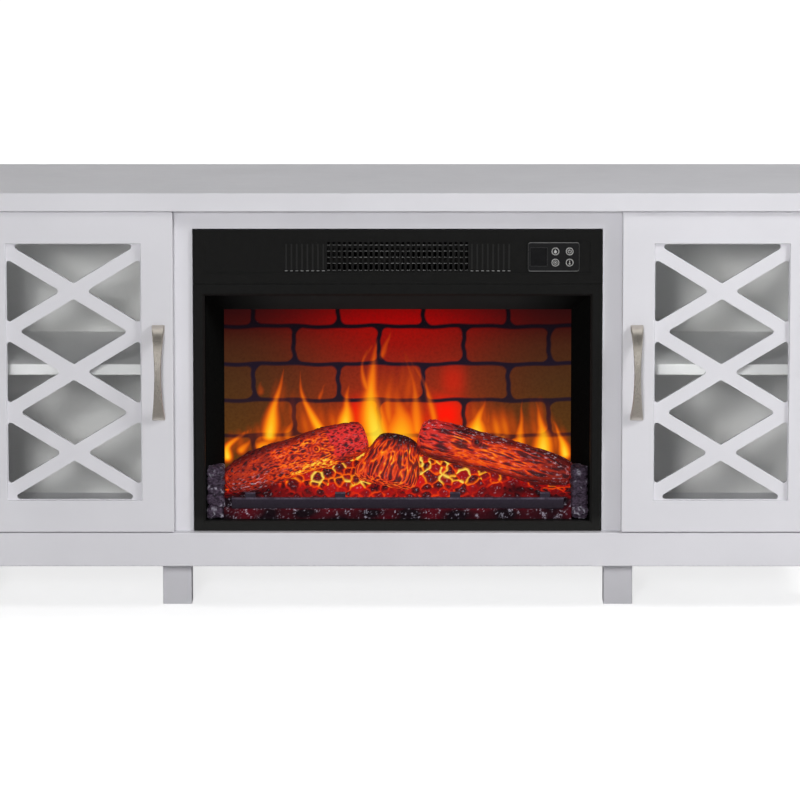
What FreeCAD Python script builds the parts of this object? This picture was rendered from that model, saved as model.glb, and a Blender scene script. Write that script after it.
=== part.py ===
import FreeCAD, Part
import math
import os
import re
import Sketcher

# Driving sizes in millimetres, counts and degrees
SIZES = {
    # Top panel, overall height and softened edges
    "top_length": 1340,
    "top_depth": 400,
    "top_thick": 26.4,
    "top_lip": 30,
    "top_end_lip": 16,
    "top_tail": 5,
    "overall_height": 612,
    "edge_round": 1.5,
    # Case of boards
    "board": 18,
    "back_thick": 3,
    "bay_width": 588,
    "stile_width": 46,
    "end_stile_width": 34,
    "header_height": 28,
    "rail_drop": 21.5,
    "rail_height": 49,
    "rail_thick": 18,
    # Openings of the back panel
    "cable_hole_radius": 25,
    "cable_hole_height": 537,
    "service_margin": 44,
    "service_low": 143,
    "service_head": 66,
    # Legs and their screws
    "leg_height": 91.5,
    "leg_width": 42,
    "leg_depth": 38,
    "leg_setback": 55,
    "rear_leg_depth": 20,
    "leg_outset": 4,
    "screw_radius": 2,
    "screw_head_radius": 4,
    "screw_head_depth": 3,
    "screw_length": 40,
    "screw_spread": 22,
    "screw_fit": 0.05,
    # Shelves on pins
    "shelf_thick": 16,
    "shelf_lift": 10,
    "shelf_setback": 28,
    "shelf_end_gap": 1,
    "pin_radius": 2.5,
    "pin_reach": 8,
    "pin_inset": 50,
    # Doors
    "door_lap": 18.5,
    "door_thick": 18,
    "door_stand": 2.5,
    "door_end_gap": 47.5,
    "door_head_gap": 1.5,
    "door_foot_gap": 1.5,
    "door_border": 46,
    "door_lip": 6,
    "door_rebate": 9,
    "lattice_thick": 6,
    "lattice_rows": 3,
    "lattice_end": 10.25,
    "lattice_bar": 19,
    "lattice_rim": 1,
    "lattice_round": 4,
    "glass_thick": 3,
    "glazing_fit": 0.4,
    "bead_width": 8,
    # Door pivots and catches
    "pivot_inset": 6,
    "pivot_radius": 3,
    "pivot_depth": 14,
    "pivot_fit": 0.05,
    "bush_radius": 5,
    "bush_length": 12,
    "flange_radius": 7,
    "flange_thick": 1.2,
    "pin_end_gap": 1,
    "catch_radius": 4,
    "catch_length": 10,
    "catch_proud": 1,
    "catch_drop": 70,
    "strike_radius": 6,
    "strike_thick": 1.2,
    # Bow pulls
    "handle_reach": 28,
    "handle_centres": 128,
    "handle_foot": 10,
    "handle_foot_width": 18.5,
    "handle_waist": 9.5,
    "handle_thick": 5,
    "handle_round": 1.4,
    "handle_inset": 21,
    "handle_sections": 16,
    "handle_hole_depth": 9,
    "handle_screw_gap": 1,
    "handle_screw_head": 2,
    # Fireplace insert: housing, trim frame and fascia
    "insert_gap": 1,
    "insert_foot_gap": 0.5,
    "insert_proud": 4,
    "insert_depth": 14,
    "housing_gap": 12,
    "housing_head_gap": 9,
    "housing_depth": 150,
    "sheet": 1.5,
    "louvre_width": 5,
    "louvre_height": 40,
    "louvre_pitch": 16,
    "louvre_count": 22,
    "louvre_drop": 129,
    "trim_side": 16,
    "trim_foot": 13.5,
    "trim_head": 17,
    "trim_bevel": 3,
    "fascia_height": 78,
    "fascia_seam": 0.5,
    "fascia_wall": 2,
    "fascia_recess": 1,
    "recess_margin": 17,
    "recess_height": 47,
    # Outlet slots of the fascia
    "slot_width": 4.2,
    "slot_height": 42,
    "slot_margin": 23.1,
    "open_slots": 27,
    "blind_slots": 8,
    "blind_depth": 1.5,
    # Control panel, display and buttons
    "panel_edge": 69.5,
    "panel_width": 74,
    "panel_height": 42,
    "panel_thick": 2,
    "panel_round": 4,
    "panel_margin": 4,
    "post_radius": 2,
    "post_length": 6,
    "post_inset": 0.4,
    "display_edge": 15.5,
    "display_inset": 14,
    "display_height": 25,
    "display_thick": 1,
    "button_edge": 24.5,
    "button_spread": 20.4,
    "button_rise": 16.1,
    "button_radius": 5.6,
    "button_gap": 0.3,
    "button_proud": 1.4,
    "button_travel": 1,
    "button_stop_gap": 0.3,
    "button_rest_gap": 0.1,
    "button_flange": 1,
    "button_dish": 0.4,
    "board_thick": 1.6,
    # Heater: duct, element, blower wheel and motor
    "duct_width": 236,
    "duct_height": 64,
    "element_gap": 16.5,
    "element_depth": 16,
    "element_head": 13,
    "element_setback": 12,
    "fin_thick": 1.2,
    "fin_count": 25,
    "tube_height": 6,
    "wheel_setback": 90,
    "wheel_clear": 4.5,
    "wheel_gap": 6.5,
    "wheel_disc": 2,
    "blade_depth": 9,
    "blade_thick": 1.2,
    "blade_count": 18,
    "shaft_radius": 3,
    "shaft_fit": 0.05,
    "motor_radius": 21,
    "motor_length": 46,
    "motor_bore": 16,
    # Firebox: liner, flame screen, rotor and lamps
    "rotor_space": 60,
    "screen_taper": 24,
    "screen_drop": 33.5,
    "screen_thick": 3,
    "screen_lap": 3,
    "rotor_back": 28,
    "rotor_height": 60,
    "rotor_motor_length": 32,
    "rotor_motor_radius": 17,
    "bearing_radius": 8,
    "bearing_length": 12,
    "shaft_entry": 8,
    "paddle_count": 9,
    "paddle_length": 34,
    "paddle_radius": 18,
    "paddle_thick": 1.2,
    "lamp_inset": 52,
    "lamp_board_depth": 12,
    "lamp_back": 26,
    "lamp_size": 5,
    "lamp_count": 16,
    "gland_radius": 7,
    "gland_flange": 10,
    "gland_proud": 3,
    "gland_bore": 4,
    "gland_inset": 60,
    "gland_height": 45,
    # Log set, ember bed and grate
    "bed_front": 13,
    "bed_side_gap": 0.5,
    "ash_height": 15,
    "ember_front": 26,
    "ember_low": 27.8,
    "ember_shelf": 26,
    "ember_high": 90,
    "coal_radius": 10.4,
    "coal_growth": 1.04,
    "coal_rows": 3,
    "coal_columns": 11,
    "coal_margin": 40.75,
    "coal_setback": 14.4,
    "block_width": 24,
    "block_depth": 34,
    "block_height": 76.5,
    "log_fit": 0.3,
    "log_end_gap": 27,
    "left_log_end": 46,
    "right_log_end": 32,
    "outer_log_front": 46,
    "outer_log_back_gap": 32,
    "outer_log_foot": 54.5,
    "outer_log_top": 116,
    "outer_log_radius": 26,
    "left_log_bend": 3,
    "right_log_bend": 4,
    "stump_radius": 25,
    "stump_offset": 8,
    "stump_front": 40,
    "stump_back_gap": 22,
    "stump_foot": 68.4,
    "stump_top": 104.3,
    "grate_inset": 37,
    "grate_height": 16,
    "grate_thick": 8,
    "grate_front": 15,
    "prong_width": 15,
    "prong_rise": 8,
    "prong_inner": 83,
    "prong_inset": 27,
}

# Places worked out from the driving sizes; front is the front plane of the case boards
PLACES = {
    "front": "(door_stand + door_thick + handle_reach - top_depth + top_lip) / 2",
    "case_depth": "top_depth - top_lip - back_thick - top_tail",
    "half_case": "top_length / 2 - top_end_lip",
    "half_inside": "half_case - board",
    "half_bay": "bay_width / 2",
    "case_top": "overall_height - top_thick",
    "floor_top": "leg_height + board",
    "rail_low": "leg_height - rail_drop",
    "rail_top": "rail_low + rail_height",
    "shelf_top": "(floor_top + case_top) / 2 + shelf_lift",
    "service_width": "bay_width - 2 * service_margin",
    "service_height": "case_top - service_head - service_low",
    "divider_out": "half_bay + board",
    "stile_out": "half_bay + stile_width",
    "bay_top": "case_top - header_height",
    "door_back": "front - door_stand",
    "door_face": "door_back - door_thick",
    "door_low": "rail_top + door_foot_gap",
    "door_height": "case_top - door_head_gap - door_low",
    "door_middle": "door_low + door_height / 2",
    "door_outer": "half_case - door_end_gap",
    "door_inner": "stile_out - door_lap",
    "door_width": "door_outer - door_inner",
    "door_centre": "(door_outer + door_inner) / 2",
    "pane_width": "door_width - 2 * door_border",
    "pane_height": "door_height - 2 * door_border",
    "lattice_pitch": "(pane_height - 2 * lattice_end) / lattice_rows",
    "rebate_face": "door_face + door_lip",
    "pivot_x": "door_outer - pivot_inset",
    "pivot_y": "door_back - door_thick / 2",
    "catch_x": "(door_inner + stile_out) / 2",
    "catch_z": "case_top - catch_drop",
    "handle_x": "door_inner + handle_inset",
    "insert_face": "front - insert_proud",
    "insert_back": "insert_face + insert_depth",
    "insert_width": "bay_width - 2 * insert_gap",
    "housing_back": "insert_back + housing_depth",
    "housing_width": "bay_width - 2 * housing_gap",
    "housing_height": "bay_top - floor_top - housing_head_gap",
    "louvre_low": "floor_top + housing_height - louvre_drop",
    "housing_inner": "housing_width / 2 - sheet",
    "fascia_low": "bay_top - insert_gap - fascia_height",
    "trim_low": "rail_top + insert_foot_gap",
    "trim_top": "fascia_low - fascia_seam",
    "window_width": "insert_width - 2 * trim_side",
    "window_low": "trim_low + trim_foot",
    "window_height": "trim_top - trim_head - window_low",
    "fascia_middle": "fascia_low + fascia_height / 2",
    "recess_face": "insert_face + fascia_recess",
    "recess_width": "insert_width - 2 * recess_margin",
    "panel_centre": "insert_width / 2 - panel_edge",
    "slot_pitch": "2 * (panel_centre - panel_width / 2 - slot_margin) / (open_slots + 2 * blind_slots)",
    "display_width": "panel_width / 2 - display_inset",
    "display_centre": "panel_centre - panel_width / 2 + display_edge",
    "button_centre": "panel_centre + panel_width / 2 - button_edge",
    "panel_face": "recess_face - panel_thick",
    "board_face": "recess_face + post_length",
    "button_face": "panel_face - button_proud",
    "button_tail": "board_face - button_travel - button_stop_gap",
    "duct_top": "floor_top + housing_height - sheet",
    "duct_low": "duct_top - duct_height",
    "element_width": "duct_width - 2 * sheet - 2 * element_gap",
    "element_height": "duct_height - 2 * sheet - element_head",
    "wheel_radius": "duct_height / 2 - sheet - wheel_clear",
    "wheel_length": "duct_width - 2 * sheet - 2 * wheel_gap",
    "wheel_y": "insert_back + wheel_setback",
    "wheel_z": "duct_low + duct_height / 2",
    "screen_face": "housing_back - rotor_space",
    "screen_width": "window_width - 2 * screen_taper",
    "screen_height": "window_height - screen_drop",
    "rotor_y": "housing_back - rotor_back",
    "rotor_z": "floor_top + rotor_height",
    "gland_x": "housing_width / 2 - gland_inset",
    "gland_z": "floor_top + gland_height",
    "lamp_y": "housing_back - lamp_back",
    "lamp_board_length": "housing_width - 2 * lamp_inset",
    "ash_top": "window_low + ash_height",
    "ember_rear": "screen_face - ember_shelf",
    "ember_run": "ember_rear - front - ember_front",
    "coal_pitch": "(window_width - 2 * coal_margin) / (coal_columns - 1 / 2)",
    "outer_log_low": "window_width / 2 - log_end_gap",
    "outer_log_rear": "screen_face - outer_log_back_gap",
    "stump_rear": "screen_face - stump_back_gap",
    "grate_length": "window_width - 2 * grate_inset",
    "prong_outer": "grate_length / 2 - prong_inset",
}

SIDES = {"left": -1, "right": 1}
AXIS_TURNS = {
    "x": FreeCAD.Rotation(FreeCAD.Vector(0, 1, 0), 90),
    "y": FreeCAD.Rotation(FreeCAD.Vector(1, 0, 0), -90),
    "z": FreeCAD.Rotation(),
}

doc = FreeCAD.newDocument("fireplace_tv_stand")
sheet = doc.addObject("Spreadsheet::Sheet", "dims")
cells = {alias: str(size) for alias, size in SIZES.items()}
cells.update({alias: f"={text}" for alias, text in PLACES.items()})
for row, (alias, content) in enumerate(cells.items(), 1):
    sheet.set(f"A{row}", alias)
    sheet.set(f"B{row}", content)
    sheet.setAlias(f"B{row}", alias)
doc.recompute()
subparts = []


def formula(text):
    """Write a size text with each name as a reference to its cell."""
    return re.sub(r"[a-z_]\w*", lambda match: f"dims.{match.group(0)}", str(text))


def number(text):
    """Value of a size text, for shapes made by code."""
    return float(sheet.evalExpression(formula(text)))


def point(x, y, z):
    return FreeCAD.Vector(number(x), number(y), number(z))


def place(item, x, y, z, turn=None):
    item.Placement = FreeCAD.Placement(FreeCAD.Vector(), turn or FreeCAD.Rotation())
    for axis, text in zip("xyz", (x, y, z)):
        item.setExpression(f"Placement.Base.{axis}", formula(text))


def block(name, x, y, z):
    """Box from a (start, size) pair along each axis."""
    item = doc.addObject("Part::Box", name)
    for side, (start, size) in zip(("Length", "Width", "Height"), (x, y, z)):
        item.setExpression(side, formula(size))
    place(item, x[0], y[0], z[0])
    return item


def rod(name, axis, start, radius, length):
    """Cylinder that runs from its start point along +axis."""
    item = doc.addObject("Part::Cylinder", name)
    item.setExpression("Radius", formula(radius))
    item.setExpression("Height", formula(length))
    place(item, *start, turn=AXIS_TURNS[axis])
    return item


def cone(name, start, low_radius, top_radius, height):
    item = doc.addObject("Part::Cone", name)
    item.setExpression("Radius1", formula(low_radius))
    item.setExpression("Radius2", formula(top_radius))
    item.setExpression("Height", formula(height))
    place(item, *start)
    return item


def span(sign, inner, outer):
    """Start and size along X between two distances from the middle, on one side."""
    start = inner if sign > 0 else f"-({outer})"
    return start, f"({outer}) - ({inner})"


def centred(size, middle="0"):
    return f"{middle} - ({size}) / 2", size


def fuse(name, items):
    item = doc.addObject("Part::MultiFuse", name)
    item.Shapes = items
    item.Refine = True
    return item


def cut(name, base, tools):
    item = doc.addObject("Part::Cut", name)
    item.Base = base
    item.Tool = tools[0] if len(tools) == 1 else fuse(f"{name}_tools", tools)
    return item


def common(name, first, second):
    item = doc.addObject("Part::Common", name)
    item.Base = first
    item.Tool = second
    return item


def group(name, items):
    item = doc.addObject("Part::Compound", name)
    item.Links = items
    return item


def solid(name, shape):
    item = doc.addObject("Part::Feature", name)
    item.Shape = shape
    return item


def soften(name, base, chosen, radius="edge_round"):
    """Round the edges of a shape that a test of the edge picks out."""
    doc.recompute()
    item = doc.addObject("Part::Fillet", name)
    item.Base = base
    size = number(radius)
    item.Edges = [(i, size, size) for i, edge in enumerate(base.Shape.Edges, 1) if chosen(edge)]
    return item


def on_plane(edge, axis, text):
    """Whether a whole edge lies on the plane where one coordinate has this value."""
    wanted = number(text)
    return all(abs(getattr(vertex.Point, axis) - wanted) < 1e-4 for vertex in edge.Vertexes)


def along(edge, axis):
    ends = [vertex.Point for vertex in edge.Vertexes]
    step = ends[-1] - ends[0]
    return step.Length > 0 and abs(getattr(step, axis)) > 0.999 * step.Length


def subpart(label, item):
    item.Label = label
    subparts.append(item)
    return item


def sketch_on(body, name, role, offset="0"):
    sketch = body.newObject("Sketcher::SketchObject", name)
    plane = next(item for item in body.Origin.OriginFeatures if item.Role == role)
    sketch.AttachmentSupport = [(plane, "")]
    sketch.MapMode = "FlatFace"
    sketch.setExpression("AttachmentOffset.Base.z", formula(offset))
    return sketch


def outline(sketch, corners):
    """Closed outline of straight lines, each corner bound to its two size texts."""
    spots = [FreeCAD.Vector(number(x), number(y), 0) for x, y in corners]
    first = sketch.GeometryCount
    for spot, following in zip(spots, spots[1:] + spots[:1]):
        sketch.addGeometry(Part.LineSegment(spot, following), False)
    for i, (x, y) in enumerate(corners):
        line = first + i
        before = first + (i - 1) % len(corners)
        sketch.addConstraint(Sketcher.Constraint("Coincident", before, 2, line, 1))
        for kind, text in (("DistanceX", x), ("DistanceY", y)):
            index = sketch.addConstraint(Sketcher.Constraint(kind, -1, 1, line, 1, number(text)))
            sketch.setExpression(f"Constraints[{index}]", formula(text))
    return sketch


def rectangle(sketch, x, y):
    """Rectangle from a (start, size) pair along each sketch axis."""
    right = f"{x[0]} + {x[1]}"
    top = f"{y[0]} + {y[1]}"
    return outline(sketch, [(x[0], y[0]), (right, y[0]), (right, top), (x[0], top)])


def circle(sketch, radius, x="0", y="0"):
    centre = FreeCAD.Vector(number(x), number(y), 0)
    normal = FreeCAD.Vector(0, 0, 1)
    index = sketch.addGeometry(Part.Circle(centre, normal, number(radius)), False)
    size = sketch.addConstraint(Sketcher.Constraint("Radius", index, number(radius)))
    sketch.setExpression(f"Constraints[{size}]", formula(radius))
    for kind, text in (("DistanceX", x), ("DistanceY", y)):
        if text == "0":
            axis = -2 if kind == "DistanceX" else -1
            sketch.addConstraint(Sketcher.Constraint("PointOnObject", index, 3, axis))
        else:
            held = sketch.addConstraint(Sketcher.Constraint(kind, -1, 1, index, 3, number(text)))
            sketch.setExpression(f"Constraints[{held}]", formula(text))
    return sketch


def pad(body, name, sketch, length, reverse=False):
    item = body.newObject("PartDesign::Pad", name)
    item.Profile = sketch
    item.Reversed = reverse
    item.setExpression("Length", formula(length))
    return item


def pocket(body, name, sketch, depth, reverse=False):
    item = body.newObject("PartDesign::Pocket", name)
    item.Profile = sketch
    item.Reversed = reverse
    item.setExpression("Length", formula(depth))
    return item


def repeat(body, name, feature, pitch, count):
    """Copies of a feature in a row along its sketch's first axis."""
    doc.recompute()
    item = body.newObject("PartDesign::LinearPattern", name)
    item.Originals = [feature]
    item.Direction = (feature.Profile[0], ["H_Axis"])
    item.Mode = "Spacing"
    item.setExpression("Offset", formula(pitch))
    item.setExpression("Occurrences", formula(count))
    body.Tip = item
    return item


# Top panel: one thick board with a softened edge, bored below for the upper door bushes
def bush_hole(name, sign, low, depth):
    return rod(name, "z", (f"{sign} * (pivot_x)", "pivot_y", low), "bush_radius + pivot_fit", depth)


slab = block("top_slab", centred("top_length"), ("front - top_lip", "top_depth"), ("case_top", "top_thick"))
top_bores = [bush_hole(f"{side}_top_bore", sign, "case_top", "bush_length") for side, sign in SIDES.items()]
bored_top = cut("bored_top", slab, top_bores)
subpart("top_panel", soften("top_panel", bored_top, lambda edge: on_plane(edge, "y", "front - top_lip")
                            or on_plane(edge, "x", "top_length / 2")
                            or on_plane(edge, "x", "-top_length / 2")))

# Bottom panel on the legs, with the leg screws sunk flush in its top
LEG_MIDDLES = {"inner": "(half_bay + stile_out) / 2 + leg_outset", "outer": "half_inside - leg_width / 2"}
LEG_ROWS = {"front": ("front + leg_setback", "leg_depth"),
            "rear": ("front + case_depth - rear_leg_depth", "rear_leg_depth")}


def leg_screw(name, x, y, gap):
    """Countersunk screw, or its hole where a gap is given."""
    head = cone(f"{name}_head", (x, y, "floor_top - screw_head_depth"), f"screw_radius + {gap}",
                f"screw_head_radius + {gap}", "screw_head_depth")
    shank = rod(f"{name}_shank", "z", (x, y, f"floor_top - screw_length - {gap}"), f"screw_radius + {gap}",
                f"screw_length - screw_head_depth + {gap}")
    return fuse(name, [head, shank])


floor_board = block("floor_board", centred("2 * (half_inside)"), ("front", "case_depth"),
                    ("leg_height", "board"))
screws = []
screw_holes = []
legs = {"front": [], "rear": []}
for row, (leg_y, depth) in LEG_ROWS.items():
    for side, sign in SIDES.items():
        for spot, middle in LEG_MIDDLES.items():
            tag = f"{row}_{side}_{spot}"
            leg = block(f"{tag}_leg_block", centred("leg_width", f"{sign} * ({middle})"),
                        (leg_y, depth), ("0", "leg_height"))
            leg_holes = []
            for end in (-1, 1):
                x = f"{sign} * ({middle}) + {end} * screw_spread / 2"
                y = f"{leg_y} + {depth} / 2"
                screws.append(leg_screw(f"{tag}_screw_{end + 1}", x, y, "0"))
                leg_holes.append(leg_screw(f"{tag}_hole_{end + 1}", x, y, "screw_fit"))
            screw_holes += leg_holes
            bored = cut(f"{tag}_leg_bored", leg, leg_holes)
            legs[row].append(soften(f"{tag}_leg", bored, lambda edge: edge.Length > number("leg_width / 2")
                                    and not on_plane(edge, "z", "leg_height")
                                    and edge.Curve.TypeId == "Part::GeomLine"
                                    and not on_plane(edge, "z", "0")))
subpart("bottom_panel", cut("bottom_panel", floor_board, screw_holes))
for row in legs:
    subpart(f"{row}_legs", group(f"{row}_legs", legs[row]))
subpart("leg_screws", group("leg_screws", screws))

# Side panels and dividers, drilled for the shelf pins; a front stile is glued to each of them
PIN_ROWS = ("front + shelf_setback + pin_inset", "front + case_depth - pin_inset")
PIN_HEIGHT = "shelf_top - shelf_thick - pin_radius"
pins = []
for side, sign in SIDES.items():
    holes = {"side": [], "divider": []}
    for spot, wall, inward in (("side", "half_inside", -1), ("divider", "divider_out", 1)):
        for row, pin_y in enumerate(PIN_ROWS):
            middle = f"{sign} * ({wall})"
            reach = "pin_reach + screw_fit"
            tag = f"{side}_{spot}_pin_{row}"
            holes[spot].append(rod(f"{tag}_hole", "x", (f"{middle} - ({reach})", pin_y, PIN_HEIGHT),
                                   "pin_radius + screw_fit", f"2 * ({reach})"))
            pins.append(rod(tag, "x", (f"{middle} - pin_reach", pin_y, PIN_HEIGHT), "pin_radius",
                            "2 * pin_reach"))
    side_board = block(f"{side}_side_board", span(sign, "half_inside", "half_case"), ("front", "case_depth"),
                       ("rail_low", "case_top - (rail_low)"))
    subpart(f"{side}_side_panel", cut(f"{side}_side_panel", side_board, holes["side"]))
    divider = block(f"{side}_divider_board", span(sign, "half_bay", "divider_out"),
                    ("front + board", "case_depth - board"), ("floor_top", "case_top - (floor_top)"))
    subpart(f"{side}_divider", cut(f"{side}_divider", divider, holes["divider"]))
    stile = block(f"{side}_stile_board", span(sign, "half_bay", "stile_out"), ("front", "board"),
                  ("floor_top", "case_top - (floor_top)"))
    catch_hole = rod(f"{side}_catch_hole", "y", (f"{sign} * (catch_x)", "front", "catch_z"),
                     "catch_radius + screw_fit", "catch_length - catch_proud")
    bored_stile = cut(f"{side}_bored_stile", stile, [catch_hole])
    end_stile = block(f"{side}_end_stile", span(sign, "half_inside - end_stile_width", "half_inside"),
                      ("front", "board"), ("floor_top", "case_top - (floor_top)"))
    subpart(f"{side}_stile", group(f"{side}_stile", [bored_stile, end_stile]))
subpart("shelf_pins", group("shelf_pins", pins))

# Header rail over the fireplace and base rail across the whole front
header = block("header_rail", centred("bay_width"), ("front", "board"), ("bay_top", "header_height"))
subpart("header_rail", header)
rail = block("rail_board", centred("2 * (half_case)"), ("front - rail_thick", "rail_thick"),
             ("rail_low", "rail_height"))
rail_bores = [bush_hole(f"{side}_rail_bore", sign, "rail_top - bush_length", "bush_length")
              for side, sign in SIDES.items()]
bored_rail = cut("bored_rail", rail, rail_bores)
subpart("base_rail", soften("base_rail", bored_rail, lambda edge: on_plane(edge, "y", "front - rail_thick")))

# Shelves lie on the pins behind the doors
for side, sign in SIDES.items():
    shelf = block(f"{side}_shelf_board",
                  span(sign, "divider_out + shelf_end_gap", "half_inside - shelf_end_gap"),
                  ("front + shelf_setback", "case_depth - shelf_setback"),
                  ("shelf_top - shelf_thick", "shelf_thick"))
    subpart(f"{side}_shelf", soften(f"{side}_shelf", shelf, lambda edge: along(edge, "x")
                                    and on_plane(edge, "y", "front + shelf_setback")))

# Back panel, planted on the rear edges, with a service opening and two cable holes
back = block("back_board", centred("2 * (half_case)"), ("front + case_depth", "back_thick"),
             ("leg_height", "case_top - leg_height"))
service = block("service_cut", centred("service_width"), ("front + case_depth", "back_thick"),
                ("service_low", "service_height"))
cable_holes = [rod(f"{side}_cable_hole", "y",
                   (f"{sign} * (divider_out + half_inside) / 2", "front + case_depth", "cable_hole_height"),
                   "cable_hole_radius", "back_thick") for side, sign in SIDES.items()]
subpart("back_panel", cut("back_panel", back, [service] + cable_holes))


# Doors: rebated frame, lattice, pane, beads, pull, pivots and strike plate
def door_frame(side, sign):
    middle = f"{sign} * (door_centre)"
    panel = block(f"{side}_door_board", centred("door_width", middle), ("door_face", "door_thick"),
                  ("door_low", "door_height"))
    opening = block(f"{side}_door_opening", centred("pane_width", middle), ("door_face", "door_thick"),
                    centred("pane_height", "door_middle"))
    rebate = block(f"{side}_door_rebate", centred("pane_width + 2 * door_rebate", middle),
                   ("rebate_face", "door_thick - door_lip"),
                   centred("pane_height + 2 * door_rebate", "door_middle"))
    holes = [rod(f"{side}_pull_hole_{end + 1}", "y", (f"{sign} * (handle_x)", "door_face",
                                                     f"door_middle + {end} * handle_centres / 2"),
                 "screw_radius + screw_fit", "door_thick") for end in (-1, 1)]
    for spot, low in (("foot", "door_low"), ("head", "door_low + door_height - pivot_depth")):
        holes.append(rod(f"{side}_{spot}_pin_hole", "z", (f"{sign} * (pivot_x)", "pivot_y", low),
                         "pivot_radius + screw_fit", "pivot_depth"))
    cut_frame = cut(f"{side}_door_cut", panel, [opening, rebate] + holes)
    return soften(f"{side}_door_frame", cut_frame, lambda edge: edge.Curve.TypeId == "Part::GeomLine"
                  and on_plane(edge, "y", "door_face"))


def clip(corners, normal, limit):
    """Part of a polygon on the near side of a straight line."""
    kept = []
    for corner, following in zip(corners, corners[1:] + corners[:1]):
        here = limit - corner.dot(normal)
        there = limit - following.dot(normal)
        if here >= 0:
            kept.append(corner)
        if here * there < 0:
            kept.append(corner + (following - corner) * (here / (here - there)))
    return kept


def rounded_wire(corners, radius):
    """Closed wire through the corners, each rounded as far as its sides allow."""
    arcs = []
    for before, corner, after in zip(corners[-1:] + corners[:-1], corners, corners[1:] + corners[:1]):
        back = before - corner
        ahead = after - corner
        half_angle = back.getAngle(ahead) / 2
        reach = min(radius / math.tan(half_angle), 0.45 * back.Length, 0.45 * ahead.Length)
        bend = reach * math.tan(half_angle)
        inward = (back.normalize() + ahead.normalize()).normalize()
        crest = corner + inward * (bend / math.sin(half_angle) - bend)
        arcs.append((corner + back * reach, crest, corner + ahead * reach))
    edges = []
    for (first, crest, last), following in zip(arcs, arcs[1:] + arcs[:1]):
        edges.append(Part.Arc(first, crest, last).toShape())
        edges.append(Part.LineSegment(last, following[0]).toShape())
    return Part.Wire(edges)


def lattice_holes():
    """Diamonds and triangles between three crossings of slanting bars, about the pane's middle."""
    half_width = number("pane_width / 2 - lattice_rim")
    half_height = number("pane_height / 2 - lattice_rim")
    pitch = number("lattice_pitch")
    lean = math.atan2(pitch, number("pane_width"))
    half_bar = number("lattice_bar / 2")
    radius = number("lattice_round")
    corners = [(-half_width, -half_height), (half_width, -half_height), (half_width, half_height),
               (-half_width, half_height)]
    opening = [FreeCAD.Vector(x, 0, z) for x, z in corners]
    rising = FreeCAD.Vector(-math.sin(lean), 0, math.cos(lean))
    falling = FreeCAD.Vector(math.sin(lean), 0, math.cos(lean))
    step = pitch * math.cos(lean)
    far = number("door_height")
    bands = [(-far, -step - half_bar), (-step + half_bar, -half_bar), (half_bar, step - half_bar),
             (step + half_bar, far)]
    smallest = number("lattice_bar") ** 2
    holes = []
    for low, high in bands:
        for other_low, other_high in bands:
            cell = clip(clip(opening, rising, high), rising * -1, -low)
            cell = clip(clip(cell, falling, other_high), falling * -1, -other_low)
            if len(cell) > 2 and Part.Face(Part.makePolygon(cell + cell[:1])).Area > smallest:
                holes.append(rounded_wire(cell, radius))
    return holes


def door_lattice(side, sign):
    """Sheet in the rebate, routed through between its slanting bars."""
    middle = f"{sign} * (door_centre)"
    sheet_block = block(f"{side}_lattice_sheet",
                        centred("pane_width + 2 * door_rebate - 2 * glazing_fit", middle),
                        ("rebate_face", "lattice_thick"),
                        centred("pane_height + 2 * door_rebate - 2 * glazing_fit", "door_middle"))
    through = FreeCAD.Vector(0, number("lattice_thick"), 0)
    holes = []
    for index, wire in enumerate(lattice_holes()):
        hole = solid(f"{side}_lattice_hole_{index}", Part.Face(wire).extrude(through))
        place(hole, middle, "rebate_face", "door_middle")
        holes.append(hole)
    return cut(f"{side}_door_lattice", sheet_block, holes)


def glazing(side, sign):
    """Pane behind the lattice, and the four beads that hold it."""
    width = "pane_width + 2 * door_rebate - 2 * glazing_fit"
    height = "pane_height + 2 * door_rebate - 2 * glazing_fit"
    middle = f"{sign} * (door_centre)"
    pane_face = "rebate_face + lattice_thick"
    pane = block(f"{side}_door_glass", centred(width, middle), (pane_face, "glass_thick"),
                 centred(height, "door_middle"))
    bead_y = (f"{pane_face} + glass_thick", "door_thick - door_lip - lattice_thick - glass_thick")
    beads = []
    for end in (-1, 1):
        across = f"{middle} + {end} * (({width}) - bead_width) / 2"
        upright = f"door_middle + {end} * (({height}) - bead_width) / 2"
        beads.append(block(f"{side}_upright_bead_{end + 1}", centred("bead_width", across), bead_y,
                           centred(f"{height} - 2 * bead_width", "door_middle")))
        beads.append(block(f"{side}_level_bead_{end + 1}", centred(width, middle), bead_y,
                           centred("bead_width", upright)))
    return pane, group(f"{side}_glazing_beads", beads)


def pull_section(centre, outward, width, thick):
    """Rounded rectangle across the bow, with its thickness along the outward direction."""
    across = FreeCAD.Vector(1, 0, 0)
    bend = min(number("handle_round"), thick / 2.5)
    corners = [(1, 1), (-1, 1), (-1, -1), (1, -1)]
    edges = []
    arcs = []
    for x_sign, n_sign in corners:
        hub = centre + across * (x_sign * (width / 2 - bend)) + outward * (n_sign * (thick / 2 - bend))
        first = hub + across * (x_sign * bend)
        last = hub + outward * (n_sign * bend)
        if x_sign * n_sign < 0:
            first, last = last, first
        crest = hub + (across * x_sign + outward * n_sign) * (bend * math.sqrt(0.5))
        arcs.append((first, crest, last))
    for (first, crest, last), following in zip(arcs, arcs[1:] + arcs[:1]):
        edges.append(Part.Arc(first, crest, last).toShape())
        edges.append(Part.LineSegment(last, following[0]).toShape())
    return Part.Wire(edges)


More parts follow.
